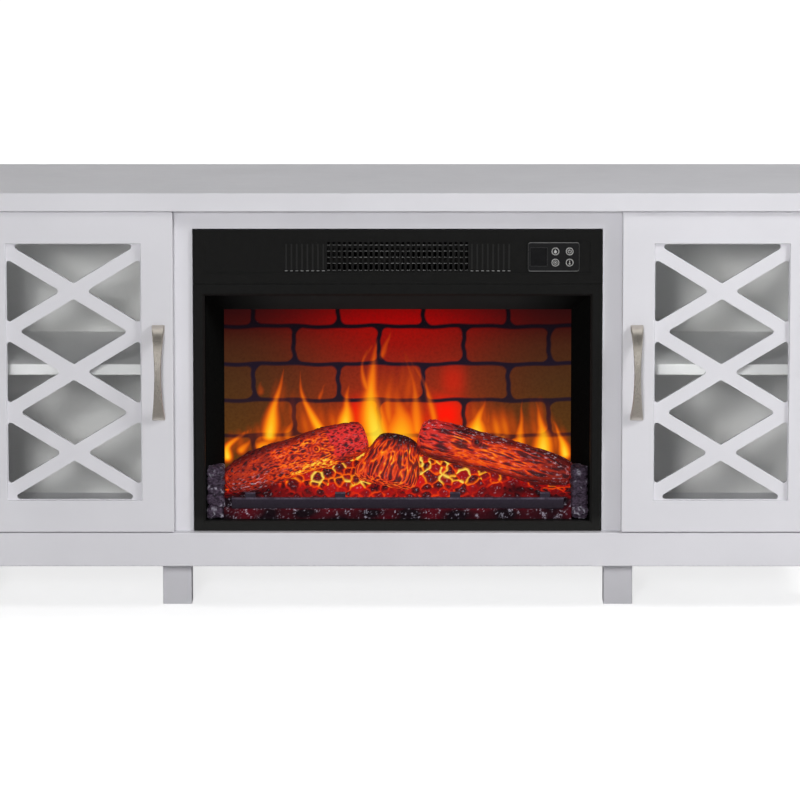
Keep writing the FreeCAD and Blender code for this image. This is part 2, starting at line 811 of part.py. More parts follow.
def pull(side, sign):
    """Bow of elliptic sweep, flared and thickened towards both feet, tapped for its screws."""
    foot = number("handle_foot")
    waist = number("handle_thick")
    half = number("handle_centres / 2")
    rise = number("handle_reach") - waist / 2
    centre = point(f"{sign} * (handle_x)", "door_face", "door_middle")
    sections = []
    steps = int(number("handle_sections"))
    for step in range(steps + 1):
        angle = math.pi * step / steps
        spread = math.cos(angle) ** 2
        spot = centre + FreeCAD.Vector(0, -rise * math.sin(angle), half * math.cos(angle))
        outward = FreeCAD.Vector(0, -half * math.sin(angle), rise * math.cos(angle)).normalize()
        width = number("handle_waist") + (number("handle_foot_width") - number("handle_waist")) * spread
        thick = waist + (foot - waist) * spread
        sections.append(pull_section(spot, outward, width, thick))
    bow = solid(f"{side}_pull_bow", Part.makeLoft(sections, True, False))
    holes = [rod(f"{side}_pull_tap_{end + 1}", "y", (f"{sign} * (handle_x)", "door_face - handle_hole_depth",
                                                    f"door_middle + {end} * handle_centres / 2"),
                 "screw_radius + screw_fit", "handle_hole_depth") for end in (-1, 1)]
    return cut(f"{side}_handle", bow, holes)


def pull_screws(side, sign):
    """Pan-head screws from the back of the door into the feet of the pull."""
    screws = []
    for end in (-1, 1):
        x = f"{sign} * (handle_x)"
        z = f"door_middle + {end} * handle_centres / 2"
        tip = "door_face - handle_hole_depth + handle_screw_gap"
        shank = rod(f"{side}_pull_shank_{end + 1}", "y", (x, tip, z), "screw_radius",
                    "door_thick + handle_hole_depth - handle_screw_gap")
        head = rod(f"{side}_pull_head_{end + 1}", "y", (x, "door_back", z), "screw_head_radius",
                   "handle_screw_head")
        screws.append(fuse(f"{side}_pull_screw_{end + 1}", [shank, head]))
    return group(f"{side}_handle_screws", screws)


bushes = []
catches = []
for side, sign in SIDES.items():
    subpart(f"{side}_door_frame", door_frame(side, sign))
    subpart(f"{side}_door_lattice", door_lattice(side, sign))
    pane, beads = glazing(side, sign)
    subpart(f"{side}_door_glass", pane)
    subpart(f"{side}_glazing_beads", beads)
    subpart(f"{side}_handle", pull(side, sign))
    subpart(f"{side}_handle_screws", pull_screws(side, sign))
    axis_x = f"{sign} * (pivot_x)"
    catch_x = f"{sign} * (catch_x)"
    pin_out = "bush_length - pin_end_gap"
    foot_pin = rod(f"{side}_foot_pin", "z", (axis_x, "pivot_y", f"rail_top - ({pin_out})"), "pivot_radius",
                   f"{pin_out} + door_foot_gap + pivot_depth")
    head_pin = rod(f"{side}_head_pin", "z", (axis_x, "pivot_y", "door_low + door_height - pivot_depth"),
                   "pivot_radius", f"{pin_out} + door_head_gap + pivot_depth")
    subpart(f"{side}_pivot_pins", group(f"{side}_pivot_pins", [foot_pin, head_pin]))
    for spot, low, flange_low in (("rail", "rail_top - bush_length", "rail_top"),
                                  ("top", "case_top", "case_top - flange_thick")):
        sleeve = rod(f"{side}_{spot}_sleeve", "z", (axis_x, "pivot_y", low), "bush_radius", "bush_length")
        flange = rod(f"{side}_{spot}_flange", "z", (axis_x, "pivot_y", flange_low), "flange_radius",
                     "flange_thick")
        bore_low = f"{flange_low} - bush_length - flange_thick"
        bore = rod(f"{side}_{spot}_bore", "z", (axis_x, "pivot_y", bore_low), "pivot_radius + pivot_fit",
                   "2 * (bush_length + flange_thick)")
        bushes.append(cut(f"{side}_{spot}_bush", fuse(f"{side}_{spot}_blank", [sleeve, flange]), [bore]))
    catches.append(rod(f"{side}_catch", "y", (catch_x, "front - catch_proud", "catch_z"), "catch_radius",
                       "catch_length"))
    subpart(f"{side}_strike_plate", rod(f"{side}_strike_plate", "y", (catch_x, "door_back", "catch_z"),
                                        "strike_radius", "strike_thick"))
subpart("pivot_bushes", group("pivot_bushes", bushes))
subpart("magnet_catches", group("magnet_catches", catches))

# Insert housing: sheet-steel tray, open in front, with intake louvres and a bearing boss
housing = doc.addObject("PartDesign::Body", "insert_housing")
shell_sketch = rectangle(sketch_on(housing, "shell_sketch", "XZ_Plane", "-(insert_back)"),
                         centred("housing_width"), ("floor_top", "housing_height"))
pad(housing, "shell_pad", shell_sketch, "housing_depth", True)
tray_sketch = rectangle(sketch_on(housing, "tray_sketch", "XZ_Plane", "-(insert_back)"),
                        centred("housing_width - 2 * sheet"),
                        ("floor_top + sheet", "housing_height - 2 * sheet"))
pocket(housing, "tray_pocket", tray_sketch, "housing_depth - sheet", False)
boss_sketch = circle(sketch_on(housing, "boss_sketch", "YZ_Plane", "-(housing_inner)"), "bearing_radius",
                     "rotor_y", "rotor_z")
pad(housing, "boss_pad", boss_sketch, "bearing_length")
bore_sketch = circle(sketch_on(housing, "bore_sketch", "YZ_Plane", "-(housing_inner) + bearing_length"),
                     "shaft_radius + shaft_fit", "rotor_y", "rotor_z")
pocket(housing, "bore_pocket", bore_sketch, "bearing_length")
gland_sketch = circle(sketch_on(housing, "gland_sketch", "XZ_Plane", "-(housing_back)"),
                      "gland_radius + screw_fit", "gland_x", "gland_z")
pocket(housing, "gland_pocket", gland_sketch, "sheet", True)
louvre_sketch = rectangle(sketch_on(housing, "louvre_sketch", "XZ_Plane", "-(housing_back)"),
                          centred("louvre_width", "-(louvre_count - 1) * louvre_pitch / 2"),
                          ("louvre_low", "louvre_height"))
louvre = pocket(housing, "louvre_pocket", louvre_sketch, "sheet", True)
repeat(housing, "louvre_row", louvre, "louvre_pitch", "louvre_count")
subpart("insert_housing", housing)

# Trim frame round the firebox window, with a bevel towards the fire
trim = doc.addObject("PartDesign::Body", "insert_trim_frame")
trim_sketch = rectangle(sketch_on(trim, "trim_sketch", "XZ_Plane", "-(insert_back)"),
                        centred("insert_width"), ("trim_low", "trim_top - (trim_low)"))
pad(trim, "trim_pad", trim_sketch, "insert_depth")
window_sketch = rectangle(sketch_on(trim, "window_sketch", "XZ_Plane", "-(insert_face)"),
                          centred("window_width"), ("window_low", "window_height"))
window_pocket = pocket(trim, "window_pocket", window_sketch, "insert_depth", False)
doc.recompute()
bevel = trim.newObject("PartDesign::Chamfer", "window_bevel")
window_lines = [("x", "-window_width / 2"), ("x", "window_width / 2"), ("z", "window_low"),
                ("z", "window_low + window_height")]
bevel_edges = [f"Edge{i}" for i, edge in enumerate(window_pocket.Shape.Edges, 1)
               if on_plane(edge, "y", "insert_face")
               and any(on_plane(edge, axis, text) for axis, text in window_lines)]
bevel.Base = (window_pocket, bevel_edges)
bevel.setExpression("Size", formula("trim_bevel"))
subpart("insert_trim_frame", trim)

# Control fascia: folded sheet with a sunk band, the outlet slots and a cut-out for the controls
fascia = doc.addObject("PartDesign::Body", "control_fascia")
face_sketch = rectangle(sketch_on(fascia, "face_sketch", "XZ_Plane", "-(insert_back)"),
                        centred("insert_width"), ("fascia_low", "fascia_height"))
pad(fascia, "face_pad", face_sketch, "insert_depth")
hollow_sketch = rectangle(sketch_on(fascia, "hollow_sketch", "XZ_Plane", "-(insert_back)"),
                          centred("insert_width - 2 * fascia_wall"),
                          ("fascia_low + fascia_wall", "fascia_height - 2 * fascia_wall"))
pocket(fascia, "hollow_pocket", hollow_sketch, "insert_depth - fascia_wall", True)
band_sketch = rectangle(sketch_on(fascia, "band_sketch", "XZ_Plane", "-(insert_face)"),
                        centred("recess_width"), centred("recess_height", "fascia_middle"))
pocket(fascia, "band_pocket", band_sketch, "fascia_recess", False)
control_sketch = rectangle(sketch_on(fascia, "control_sketch", "XZ_Plane", "-(insert_face)"),
                           centred("panel_width - 2 * panel_margin", "panel_centre"),
                           centred("panel_height - 2 * panel_margin", "fascia_middle"))
pocket(fascia, "control_pocket", control_sketch, "fascia_wall", False)
open_start = "-(open_slots - 1) * slot_pitch / 2"
slot_rows = {
    "open": (open_start, "fascia_wall", "open_slots"),
    "left_blind": (f"{open_start} - blind_slots * slot_pitch", "blind_depth", "blind_slots"),
    "right_blind": ("(open_slots + 1) * slot_pitch / 2", "blind_depth", "blind_slots"),
}
for row, (start, depth, count) in slot_rows.items():
    slot_sketch = rectangle(sketch_on(fascia, f"{row}_slot_sketch", "XZ_Plane", "-(insert_face)"),
                            centred("slot_width", start), centred("slot_height", "fascia_middle"))
    slot = pocket(fascia, f"{row}_slot", slot_sketch, depth, False)
    repeat(fascia, f"{row}_slot_row", slot, "slot_pitch", count)
subpart("control_fascia", fascia)

# Control panel on the sunk band: plate with posts for the board, display seat and button holes
BUTTONS = {
    "flame_button": (-1, 1),
    "power_button": (1, 1),
    "timer_button": (-1, -1),
    "heat_button": (1, -1),
}


def button_spot(across, rise):
    return f"button_centre + {across} * button_spread / 2", f"fascia_middle + {rise} * button_rise / 2"


plate = block("panel_plate", centred("panel_width", "panel_centre"), ("panel_face", "panel_thick"),
              centred("panel_height", "fascia_middle"))
round_plate = soften("round_plate", plate, lambda edge: along(edge, "y"), "panel_round")
post_edge = "panel_margin + post_radius + post_inset"
posts = [rod(f"panel_post_{across + 1}_{rise + 1}", "y",
             (f"panel_centre + {across} * (panel_width / 2 - ({post_edge}))", "recess_face",
              f"fascia_middle + {rise} * (panel_height / 2 - ({post_edge}))"),
             "post_radius", "post_length") for across in (-1, 1) for rise in (-1, 1)]
seat = block("display_seat", centred("display_width + 2 * screw_fit", "display_centre"),
             ("panel_face", "display_thick"), centred("display_height + 2 * screw_fit", "fascia_middle"))
button_holes = []
for name, (across, rise) in BUTTONS.items():
    x, z = button_spot(across, rise)
    button_holes.append(rod(f"{name}_hole", "y", (x, "panel_face", z), "button_radius + button_gap",
                            "panel_thick"))
panel_blank = fuse("panel_blank", [round_plate] + posts)
subpart("control_panel", cut("control_panel", panel_blank, [seat] + button_holes))
subpart("display_window", block("display_window", centred("display_width", "display_centre"),
                                ("panel_face", "display_thick"), centred("display_height", "fascia_middle")))
subpart("control_board", block("control_board", centred("panel_width - 2 * panel_margin", "panel_centre"),
                               ("board_face", "board_thick"),
                               centred("panel_height - 2 * panel_margin", "fascia_middle")))

# Push buttons: turned caps with a dished face and a flange that stops behind the panel
for name, (across, rise) in BUTTONS.items():
    x, z = button_spot(across, rise)
    button = doc.addObject("PartDesign::Body", name)
    profile = sketch_on(button, f"{name}_profile", "XY_Plane", z)
    core = f"{x} + button_radius / 2"
    rim = f"{x} + button_radius"
    lip = f"{x} + button_radius + button_gap + button_flange"
    lip_front = "recess_face + button_rest_gap"
    lip_back = "recess_face + button_rest_gap + button_flange"
    outline(profile, [(x, "button_face + button_dish"), (core, "button_face + button_dish"),
                      (f"{core} + button_dish", "button_face"), (rim, "button_face"), (rim, lip_front),
                      (lip, lip_front), (lip, lip_back), (core, lip_back), (core, "button_tail"),
                      (x, "button_tail")])
    turned = button.newObject("PartDesign::Revolution", f"{name}_turned")
    turned.Profile = profile
    turned.ReferenceAxis = (profile, ["Edge10"])
    turned.Angle = 360
    subpart(name, button)

# Heater duct from the outlet slots to the back of the housing, with bores for the wheel's shaft
duct_y = ("insert_back", "housing_depth - sheet")
duct_block = block("duct_block", centred("duct_width"), duct_y, ("duct_low", "duct_height"))
duct_inside = block("duct_inside", centred("duct_width - 2 * sheet"), duct_y,
                    ("duct_low + sheet", "duct_height - 2 * sheet"))
shaft_bore = rod("shaft_bore", "x", ("-duct_width / 2", "wheel_y", "wheel_z"),
                 "shaft_radius + shaft_fit", "duct_width")
subpart("heater_duct", cut("heater_duct", duct_block, [duct_inside, shaft_bore]))

# Finned heating element, standing on the floor of the duct
element = doc.addObject("PartDesign::Body", "heating_element")
element_y = "-(insert_back + element_setback)"
element_low = "duct_low + sheet"
for tube, low in (("low", element_low), ("mid", f"{element_low} + (element_height - tube_height) / 2"),
                  ("top", f"{element_low} + element_height - tube_height")):
    tube_sketch = rectangle(sketch_on(element, f"{tube}_tube_sketch", "XZ_Plane", element_y),
                            centred("element_width"), (low, "tube_height"))
    pad(element, f"{tube}_tube", tube_sketch, "element_depth", True)
    if tube == "low":
        fin_sketch = rectangle(sketch_on(element, "fin_sketch", "XZ_Plane", element_y),
                               ("-element_width / 2", "fin_thick"), (element_low, "element_height"))
        fin = pad(element, "fin", fin_sketch, "element_depth", True)
        repeat(element, "fin_row", fin, "(element_width - fin_thick) / (fin_count - 1)", "fin_count")
subpart("heating_element", element)

# Blower wheel: two discs, a ring of blades and a through shaft, turned by the motor beside the duct
wheel = doc.addObject("PartDesign::Body", "blower_wheel")
shaft_sketch = circle(sketch_on(wheel, "shaft_sketch", "YZ_Plane", "-duct_width / 2 - shaft_radius"),
                      "shaft_radius")
pad(wheel, "shaft_pad", shaft_sketch, "duct_width + shaft_radius + motor_bore - pin_end_gap")
for end, start in (("left", "-wheel_length / 2"), ("right", "wheel_length / 2 - wheel_disc")):
    disc_sketch = circle(sketch_on(wheel, f"{end}_disc_sketch", "YZ_Plane", start), "wheel_radius")
    pad(wheel, f"{end}_disc", disc_sketch, "wheel_disc")
blade_sketch = rectangle(sketch_on(wheel, "blade_sketch", "YZ_Plane", "-wheel_length / 2"),
                         ("wheel_radius - blade_depth", "blade_depth - blade_thick"),
                         ("-blade_thick / 2", "blade_thick"))
blade = pad(wheel, "blade", blade_sketch, "wheel_length")
doc.recompute()
ring = wheel.newObject("PartDesign::PolarPattern", "blade_ring")
ring.Originals = [blade]
ring.Axis = (next(item for item in wheel.Origin.OriginFeatures if item.Role == "X_Axis"), [""])
ring.Angle = 360
ring.setExpression("Occurrences", formula("blade_count"))
wheel.Tip = ring
place(wheel, "0", "wheel_y", "wheel_z")
subpart("blower_wheel", wheel)
motor_can = rod("motor_can", "x", ("duct_width / 2", "wheel_y", "wheel_z"), "motor_radius", "motor_length")
motor_hole = rod("motor_hole", "x", ("duct_width / 2", "wheel_y", "wheel_z"), "shaft_radius + shaft_fit",
                 "motor_bore")
subpart("blower_motor", cut("blower_motor", motor_can, [motor_hole]))


# Firebox liner: tapered sheet tunnel from the window to the flame screen
def taper(name, grow, floor_grow):
    """Tapered body between the window and the screen, larger all round by a given amount."""
    body = doc.addObject("PartDesign::Body", name)
    mouths = (("front", "insert_back", "window_width", "window_height"),
              ("rear", "screen_face", "screen_width", "screen_height"))
    faces = [rectangle(sketch_on(body, f"{name}_{end}", "XZ_Plane", f"-({y})"),
                       centred(f"{width} + 2 * ({grow})"),
                       (f"window_low - ({floor_grow})", f"{height} + ({grow}) + ({floor_grow})"))
             for end, y, width, height in mouths]
    loft = body.newObject("PartDesign::AdditiveLoft", f"{name}_loft")
    loft.Profile = faces[0]
    loft.Sections = [faces[1]]
    loft.Ruled = True
    return body


liner_outside = taper("liner_outside", "sheet", "sheet")
subpart("firebox_liner", cut("firebox_liner", liner_outside, [taper("liner_inside", "0", "0")]))

# Brick-printed flame screen at the end of the liner
subpart("brick_screen", block("brick_screen", centred("screen_width + 2 * screen_lap"),
                              ("screen_face", "screen_thick"),
                              ("window_low - sheet", "screen_height + sheet + screen_lap")))

# Flame rotor behind the screen: shaft with crossed paddles between the boss and its motor
rotor_left = "-(housing_inner) + bearing_length"
rotor_right = "housing_inner - rotor_motor_length"
rotor_shaft = rod("rotor_shaft", "x", (f"{rotor_left} - shaft_entry", "rotor_y", "rotor_z"), "shaft_radius",
                  f"{rotor_right} - ({rotor_left}) + 2 * shaft_entry")
paddles = []
paddle_step = f"({rotor_right} - ({rotor_left})) / paddle_count"
for index in range(int(number("paddle_count"))):
    paddle_x = (f"{rotor_left} + ({index} + 0.5) * {paddle_step} - paddle_length / 2", "paddle_length")
    wide = centred("2 * paddle_radius", "rotor_y"), centred("paddle_thick", "rotor_z")
    tall = centred("paddle_thick", "rotor_y"), centred("2 * paddle_radius", "rotor_z")
    paddles.append(block(f"paddle_{index}", paddle_x, *(wide if index % 2 else tall)))
subpart("flame_rotor", fuse("flame_rotor", [rotor_shaft] + paddles))
rotor_can = rod("rotor_can", "x", (rotor_right, "rotor_y", "rotor_z"), "rotor_motor_radius",
                "rotor_motor_length")
rotor_hole = rod("rotor_hole", "x", (rotor_right, "rotor_y", "rotor_z"), "shaft_radius + shaft_fit",
                 "shaft_entry + pin_end_gap")
subpart("rotor_motor", cut("rotor_motor", rotor_can, [rotor_hole]))

# Lamp board on the housing floor, below the rotor
lamp_low = "floor_top + sheet"
lamps = [block("lamp_strip", centred("lamp_board_length"), centred("lamp_board_depth", "lamp_y"),
               (lamp_low, "board_thick"))]
for index in range(int(number("lamp_count"))):
    lamp_x = f"({index} + 0.5) * lamp_board_length / lamp_count - lamp_board_length / 2"
    lamps.append(block(f"lamp_{index}", centred("lamp_size", lamp_x), centred("lamp_size", "lamp_y"),
                       (f"{lamp_low} + board_thick", "lamp_size / 2")))
subpart("led_board", fuse("led_board", lamps))

# Cord gland through the back of the housing
gland_y = "housing_back - sheet"
gland_body = rod("gland_body", "y", ("gland_x", gland_y, "gland_z"), "gland_radius", "sheet + gland_proud")
gland_flange = rod("gland_ring", "y", ("gland_x", "housing_back", "gland_z"), "gland_flange", "gland_proud")
gland_hole = rod("gland_hole", "y", ("gland_x", gland_y, "gland_z"), "gland_bore", "sheet + gland_proud")
subpart("cord_gland", cut("cord_gland", fuse("gland_blank", [gland_body, gland_flange]), [gland_hole]))


# Log set: bent, tapering logs lying in the moulded ember bed
def log_shape(start, end, radii, bend, grow=0):
    """Loft through circles square to a bent line from start to end."""
    axis = end - start
    direction = FreeCAD.Vector(axis).normalize()
    rings = []
    for index, radius in enumerate(radii):
        share = index / (len(radii) - 1)
        centre = start + axis * share + FreeCAD.Vector(0, 0, bend * math.sin(math.pi * share))
        rings.append(Part.Wire([Part.Circle(centre, direction, radius + grow).toShape()]))
    return Part.makeLoft(rings, True, False)


radius = number("outer_log_radius")
LOGS = {
    "left_log": (point("-outer_log_low", "front + outer_log_front", "window_low + outer_log_foot"),
                 point("-left_log_end", "outer_log_rear", "window_low + outer_log_top"),
                 [radius * share for share in (0.86, 1, 0.94, 1.02, 0.9)], number("left_log_bend")),
    "right_log": (point("outer_log_low", "front + outer_log_front", "window_low + outer_log_foot"),
                  point("right_log_end", "outer_log_rear", "window_low + outer_log_top"),
                  [radius * share for share in (0.8, 1, 1.06, 1, 1.02)], number("right_log_bend")),
    "centre_log": (point("-stump_offset", "front + stump_front", "window_low + stump_foot"),
                   point("-stump_offset", "stump_rear", "window_low + stump_top"),
                   [number("stump_radius") * share for share in (0.9, 1, 0.96)], 0),
}
log_seats = []
for name, (start, end, radii, bend) in LOGS.items():
    subpart(name, solid(name, log_shape(start, end, radii, bend)))
    log_seats.append(solid(f"{name}_seat", log_shape(start, end, radii, bend, number("log_fit"))))

# Ember bed: sloping moulding with rows of round coals and a charcoal block at each end
mould = doc.addObject("PartDesign::Body", "ember_mould")
slope_sketch = outline(sketch_on(mould, "slope_sketch", "YZ_Plane", "-window_width / 2"), [
    ("front + bed_front", "window_low"), ("front + bed_front", "ash_top"), ("front + ember_front", "ash_top"),
    ("front + ember_front", "window_low + ember_low"), ("ember_rear", "window_low + ember_high"),
    ("screen_face", "window_low + ember_high"), ("screen_face", "window_low")])
pad(mould, "slope_pad", slope_sketch, "window_width")
lumps = [mould]
for row in range(int(number("coal_rows"))):
    back = f"coal_setback + {row} * ember_run / coal_rows"
    for column in range(int(number("coal_columns"))):
        coal = doc.addObject("Part::Sphere", f"coal_{row}_{column}")
        wobble = (column * 7 + row * 3) % 5
        coal.setExpression("Radius", formula(f"coal_radius + {wobble} * coal_growth"))
        place(coal, f"({column} + {row % 2} / 2 - (coal_columns - 1 / 2) / 2) * coal_pitch",
              f"front + ember_front + {back}",
              f"window_low + ember_low + ({back}) / ember_run * (ember_high - ember_low)")
        lumps.append(coal)
for side, sign in SIDES.items():
    lumps.append(block(f"{side}_charcoal", span(sign, "window_width / 2 - block_width", "window_width / 2"),
                       ("front + bed_front", "block_depth"), ("window_low", "block_height")))
lining = taper("bed_space", "-bed_side_gap", "0")
trimmed_bed = common("trimmed_bed", fuse("lumpy_bed", lumps), lining)
subpart("ember_bed", cut("ember_bed", trimmed_bed, log_seats))

# Grate bar with four upright prongs, standing on the ash strip
bars = [block("grate_rail", centred("grate_length"), ("front + grate_front", "grate_thick"),
              ("ash_top", "grate_height"))]
for spread in ("prong_inner", "prong_outer"):
    for side, sign in SIDES.items():
        bars.append(block(f"{side}_{spread}", centred("prong_width", f"{sign} * {spread}"),
                          ("front + grate_front", "grate_thick"), ("ash_top", "grate_height + prong_rise")))
subpart("grate_bar", fuse("grate_bar", bars))

# Every piece is checked before any file is written
doc.recompute()
failed = [item.Label for item in doc.Objects if {"Invalid", "Error"} & set(item.State)]
failed += [item.Label for item in subparts if item.Shape.isNull() or not item.Shape.isValid()]
if failed:
    raise RuntimeError(f"pieces that did not build: {failed}")
os.makedirs("parts", exist_ok=True)
for item in subparts:
    item.Shape.exportStep(os.path.join("parts", f"{item.Label}.step"))
print(len(subparts), "pieces written")
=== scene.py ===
import math

import bmesh
import bpy
import numpy as np
from mathutils import Matrix, Vector, noise


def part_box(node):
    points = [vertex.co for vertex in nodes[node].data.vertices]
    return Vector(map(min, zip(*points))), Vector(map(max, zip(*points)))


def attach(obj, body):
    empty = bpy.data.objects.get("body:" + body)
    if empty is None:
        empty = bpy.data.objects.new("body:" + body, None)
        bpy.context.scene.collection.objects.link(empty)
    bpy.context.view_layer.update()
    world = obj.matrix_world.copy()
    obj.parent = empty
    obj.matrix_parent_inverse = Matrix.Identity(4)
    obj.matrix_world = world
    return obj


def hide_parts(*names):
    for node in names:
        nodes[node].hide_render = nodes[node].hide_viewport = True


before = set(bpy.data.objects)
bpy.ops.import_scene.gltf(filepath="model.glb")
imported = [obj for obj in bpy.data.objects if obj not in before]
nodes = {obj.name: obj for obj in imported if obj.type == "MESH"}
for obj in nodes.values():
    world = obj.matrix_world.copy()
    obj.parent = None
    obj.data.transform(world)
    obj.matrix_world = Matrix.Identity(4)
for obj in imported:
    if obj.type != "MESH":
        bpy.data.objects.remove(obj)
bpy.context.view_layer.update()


# Case boards, legs and door frames: MDF, cut, edge-rounded and sprayed with satin white paint.
# The spray leaves a fine orange peel, faint clouds in the tone and small changes in sheen.
def tint(*screen):
    """Linear colour from red, green and blue as a screen shows them, 0 to 255."""
    return tuple(((v / 255 + 0.055) / 1.055) ** 2.4 if v > 10 else v / 255 / 12.92 for v in screen) + (1.0,)


def add(tree, kind, inputs=None, **settings):
    """One node, with each input set to a value or fed from another node's socket."""
    node = tree.nodes.new(kind)
    for key, value in settings.items():
        setattr(node, key, value)
    for key, value in (inputs or {}).items():
        if isinstance(value, bpy.types.NodeSocket):
            tree.links.new(value, node.inputs[key])
        else:
            node.inputs[key].default_value = value
    return node


def finish_of(name, **plain):
    """New material with its Principled sockets set; returns it, its tree and its shader."""
    material = bpy.data.materials.new(name)
    material.use_nodes = True
    shader = material.node_tree.nodes["Principled BSDF"]
    for key, value in plain.items():
        shader.inputs[key.replace("_", " ")].default_value = value
    return material, material.node_tree, shader


def grain(tree, scale, detail=2.0, stretch=(1, 1, 1), rough=0.5, spot=None):
    """Noise over the piece's own place in metres, stretched along an axis where a finish has a direction."""
    spot = spot or add(tree, "ShaderNodeTexCoord").outputs["Object"]
    spread = add(tree, "ShaderNodeMapping", {"Vector": spot, "Scale": stretch}).outputs["Vector"]
    made = add(tree, "ShaderNodeTexNoise", {"Vector": spread, "Scale": scale, "Detail": detail, "Roughness": rough})
    return made.outputs["Fac"]


def ramp(tree, factor, stops):
    """Colours or levels along a factor, from (place, colour) stops."""
    node = add(tree, "ShaderNodeValToRGB", {"Fac": factor})
    band = node.color_ramp
    while len(band.elements) < len(stops):
        band.elements.new(1.0)
    for element, (place, colour) in zip(band.elements, stops):
        element.position = place
        element.color = colour if isinstance(colour, tuple) else (colour, colour, colour, 1)
    return node.outputs["Color"]


def level(tree, factor, low, high, start=0.0, end=1.0):
    """A factor mapped to a plain range."""
    return add(tree, "ShaderNodeMapRange", {"Value": factor, "From Min": start, "From Max": end, "To Min": low,
                                            "To Max": high}).outputs["Result"]


def relief(tree, shader, height, strength, depth):
    bump = add(tree, "ShaderNodeBump", {"Height": height, "Strength": strength, "Distance": depth})
    tree.links.new(bump.outputs["Normal"], shader.inputs["Normal"])


def mottled(name, tones, clouds, sheen, patches, skin=None, **plain):
    """Finish whose tone and roughness wander over two noises, with a fine relief where it has a skin."""
    material, tree, shader = finish_of(name, **plain)
    dark, light = (tint(*tone) for tone in tones)
    tree.links.new(ramp(tree, grain(tree, *clouds), [(0.3, dark), (0.7, light)]), shader.inputs["Base Color"])
    tree.links.new(level(tree, grain(tree, *patches), *sheen, 0.3, 0.7), shader.inputs["Roughness"])
    if skin:
        pebbles, strength, depth = skin
        relief(tree, shader, grain(tree, *pebbles), strength, depth)
    return material


def dress(names, material):
    for name in names:
        for slot in nodes[name].material_slots:
            slot.material = material


white_paint = mottled("white_paint", [(225, 224, 229), (230, 229, 234)], (7, 3), (0.38, 0.48), (40, 2),
                      ((700, 2), 0.06, 0.0003), Specular_IOR_Level=0.42)
SIDES = ("left", "right")
dress(["front_legs", "rear_legs", "header_rail", "base_rail", "top_panel", "bottom_panel"], white_paint)
for side in SIDES:
    dress([f"{side}_{board}" for board in ("stile", "door_frame", "door_lattice", "glazing_beads")], white_paint)

# Shelves, side panels and dividers: board with a white melamine skin, pressed on, not sprayed.
# The skin is smoother than the paint, with a fine plate texture.
melamine = mottled("melamine", [(245, 245, 245), (250, 250, 250)], (12, 3), (0.44, 0.52), (60, 2),
                   ((1100, 2), 0.02, 0.0001), Specular_IOR_Level=0.45)
dress([f"{side}_{board}" for side in SIDES for board in ("shelf", "side_panel", "divider")], melamine)

# Back panel: thin hardboard planted on the rear edges. Its inner face has a white film, and its outer
# face and cut edges show the brown pressed fibre.
def axis_of(tree, axis, kind="Object"):
    """One axis of a place in metres, or of the way that a face looks."""
    spot = add(tree, "ShaderNodeTexCoord").outputs[kind]
    return add(tree, "ShaderNodeSeparateXYZ", {"Vector": spot}).outputs[axis]


def blend_of(tree, factor, below, above):
    return add(tree, "ShaderNodeMix", {"Factor": factor, "A": below, "B": above}, data_type="RGBA").outputs["Result"]


back_board, tree, shader = finish_of("back_board", Specular_IOR_Level=0.25)
fibre = ramp(tree, grain(tree, 260, 6, (1, 1, 1), 0.7), [(0.3, tint(118, 88, 62)), (0.55, tint(146, 112, 80)),
                                                      (0.8, tint(172, 138, 102))])
film = ramp(tree, grain(tree, 9, 3), [(0.3, tint(245, 244, 242)), (0.7, tint(250, 250, 249))])
outer = level(tree, axis_of(tree, "Y", "Normal"), 0, 1, -0.9, -0.8)
tree.links.new(blend_of(tree, outer, film, fibre), shader.inputs["Base Color"])
tree.links.new(level(tree, outer, 0.42, 0.75), shader.inputs["Roughness"])
relief(tree, shader, grain(tree, 500, 4), 0.12, 0.0004)
dress(["back_panel"], back_board)

# Fixings: zinc-plated screws, shelf pins, pivot pins, strike plates and magnet cases. The plating is
# bright, with a faint cloudy bloom and fine turning marks.
zinc = mottled("zinc", [(168, 170, 174), (206, 207, 209)], (220, 3), (0.24, 0.42), (900, 2, (1, 1, 6)), Metallic=1.0)
dress(["leg_screws", "shelf_pins", "magnet_catches"], zinc)
for side in SIDES:
    dress([f"{side}_{fixing}" for fixing in ("handle_screws", "pivot_pins", "strike_plate")], zinc)

# Pivot bushes: flanged sleeves of moulded natural nylon, pressed into the top panel and the base rail.
# The skin is waxy and faintly mottled.
nylon = mottled("nylon", [(214, 212, 204), (226, 224, 217)], (150, 2), (0.42, 0.55), (400,), Specular_IOR_Level=0.4)
dress(["pivot_bushes"], nylon)

# Insert housing, trim frame and fascia: folded sheet steel with a matt black powder coat.
# The coat has a fine pebbled skin, and the lower bar of the trim is a paler grey, fading out above it.
black_steel, tree, shader = finish_of("black_steel", Specular_IOR_Level=0.14)
coat = ramp(tree, grain(tree, 900, 3), [(0.3, tint(19, 19, 19)), (0.7, tint(26, 26, 25))])
trim_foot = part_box("insert_trim_frame")[0].z
paler_lower_bar = level(tree, axis_of(tree, "Z"), 1, 0, trim_foot + 0.012, trim_foot + 0.022)
tree.links.new(blend_of(tree, paler_lower_bar, coat, tint(33, 33, 32)), shader.inputs["Base Color"])
tree.links.new(level(tree, grain(tree, 120, 3), 0.46, 0.6, 0.3, 0.7), shader.inputs["Roughness"])
relief(tree, shader, grain(tree, 1300, 2), 0.1, 0.0002)
dress(["insert_housing", "insert_trim_frame", "control_fascia"], black_steel)


# Firebox liner and heater duct: the same sheet steel, sprayed with a dead matt black so that the walls
# stay dark beside the flames. Painted light makes the middle of the roof paler, fading to painted shade
# toward the side walls.
def sum_of(tree, first, second, operation="MULTIPLY"):
    return add(tree, "ShaderNodeMath", {0: first, 1: second}, operation=operation).outputs[0]


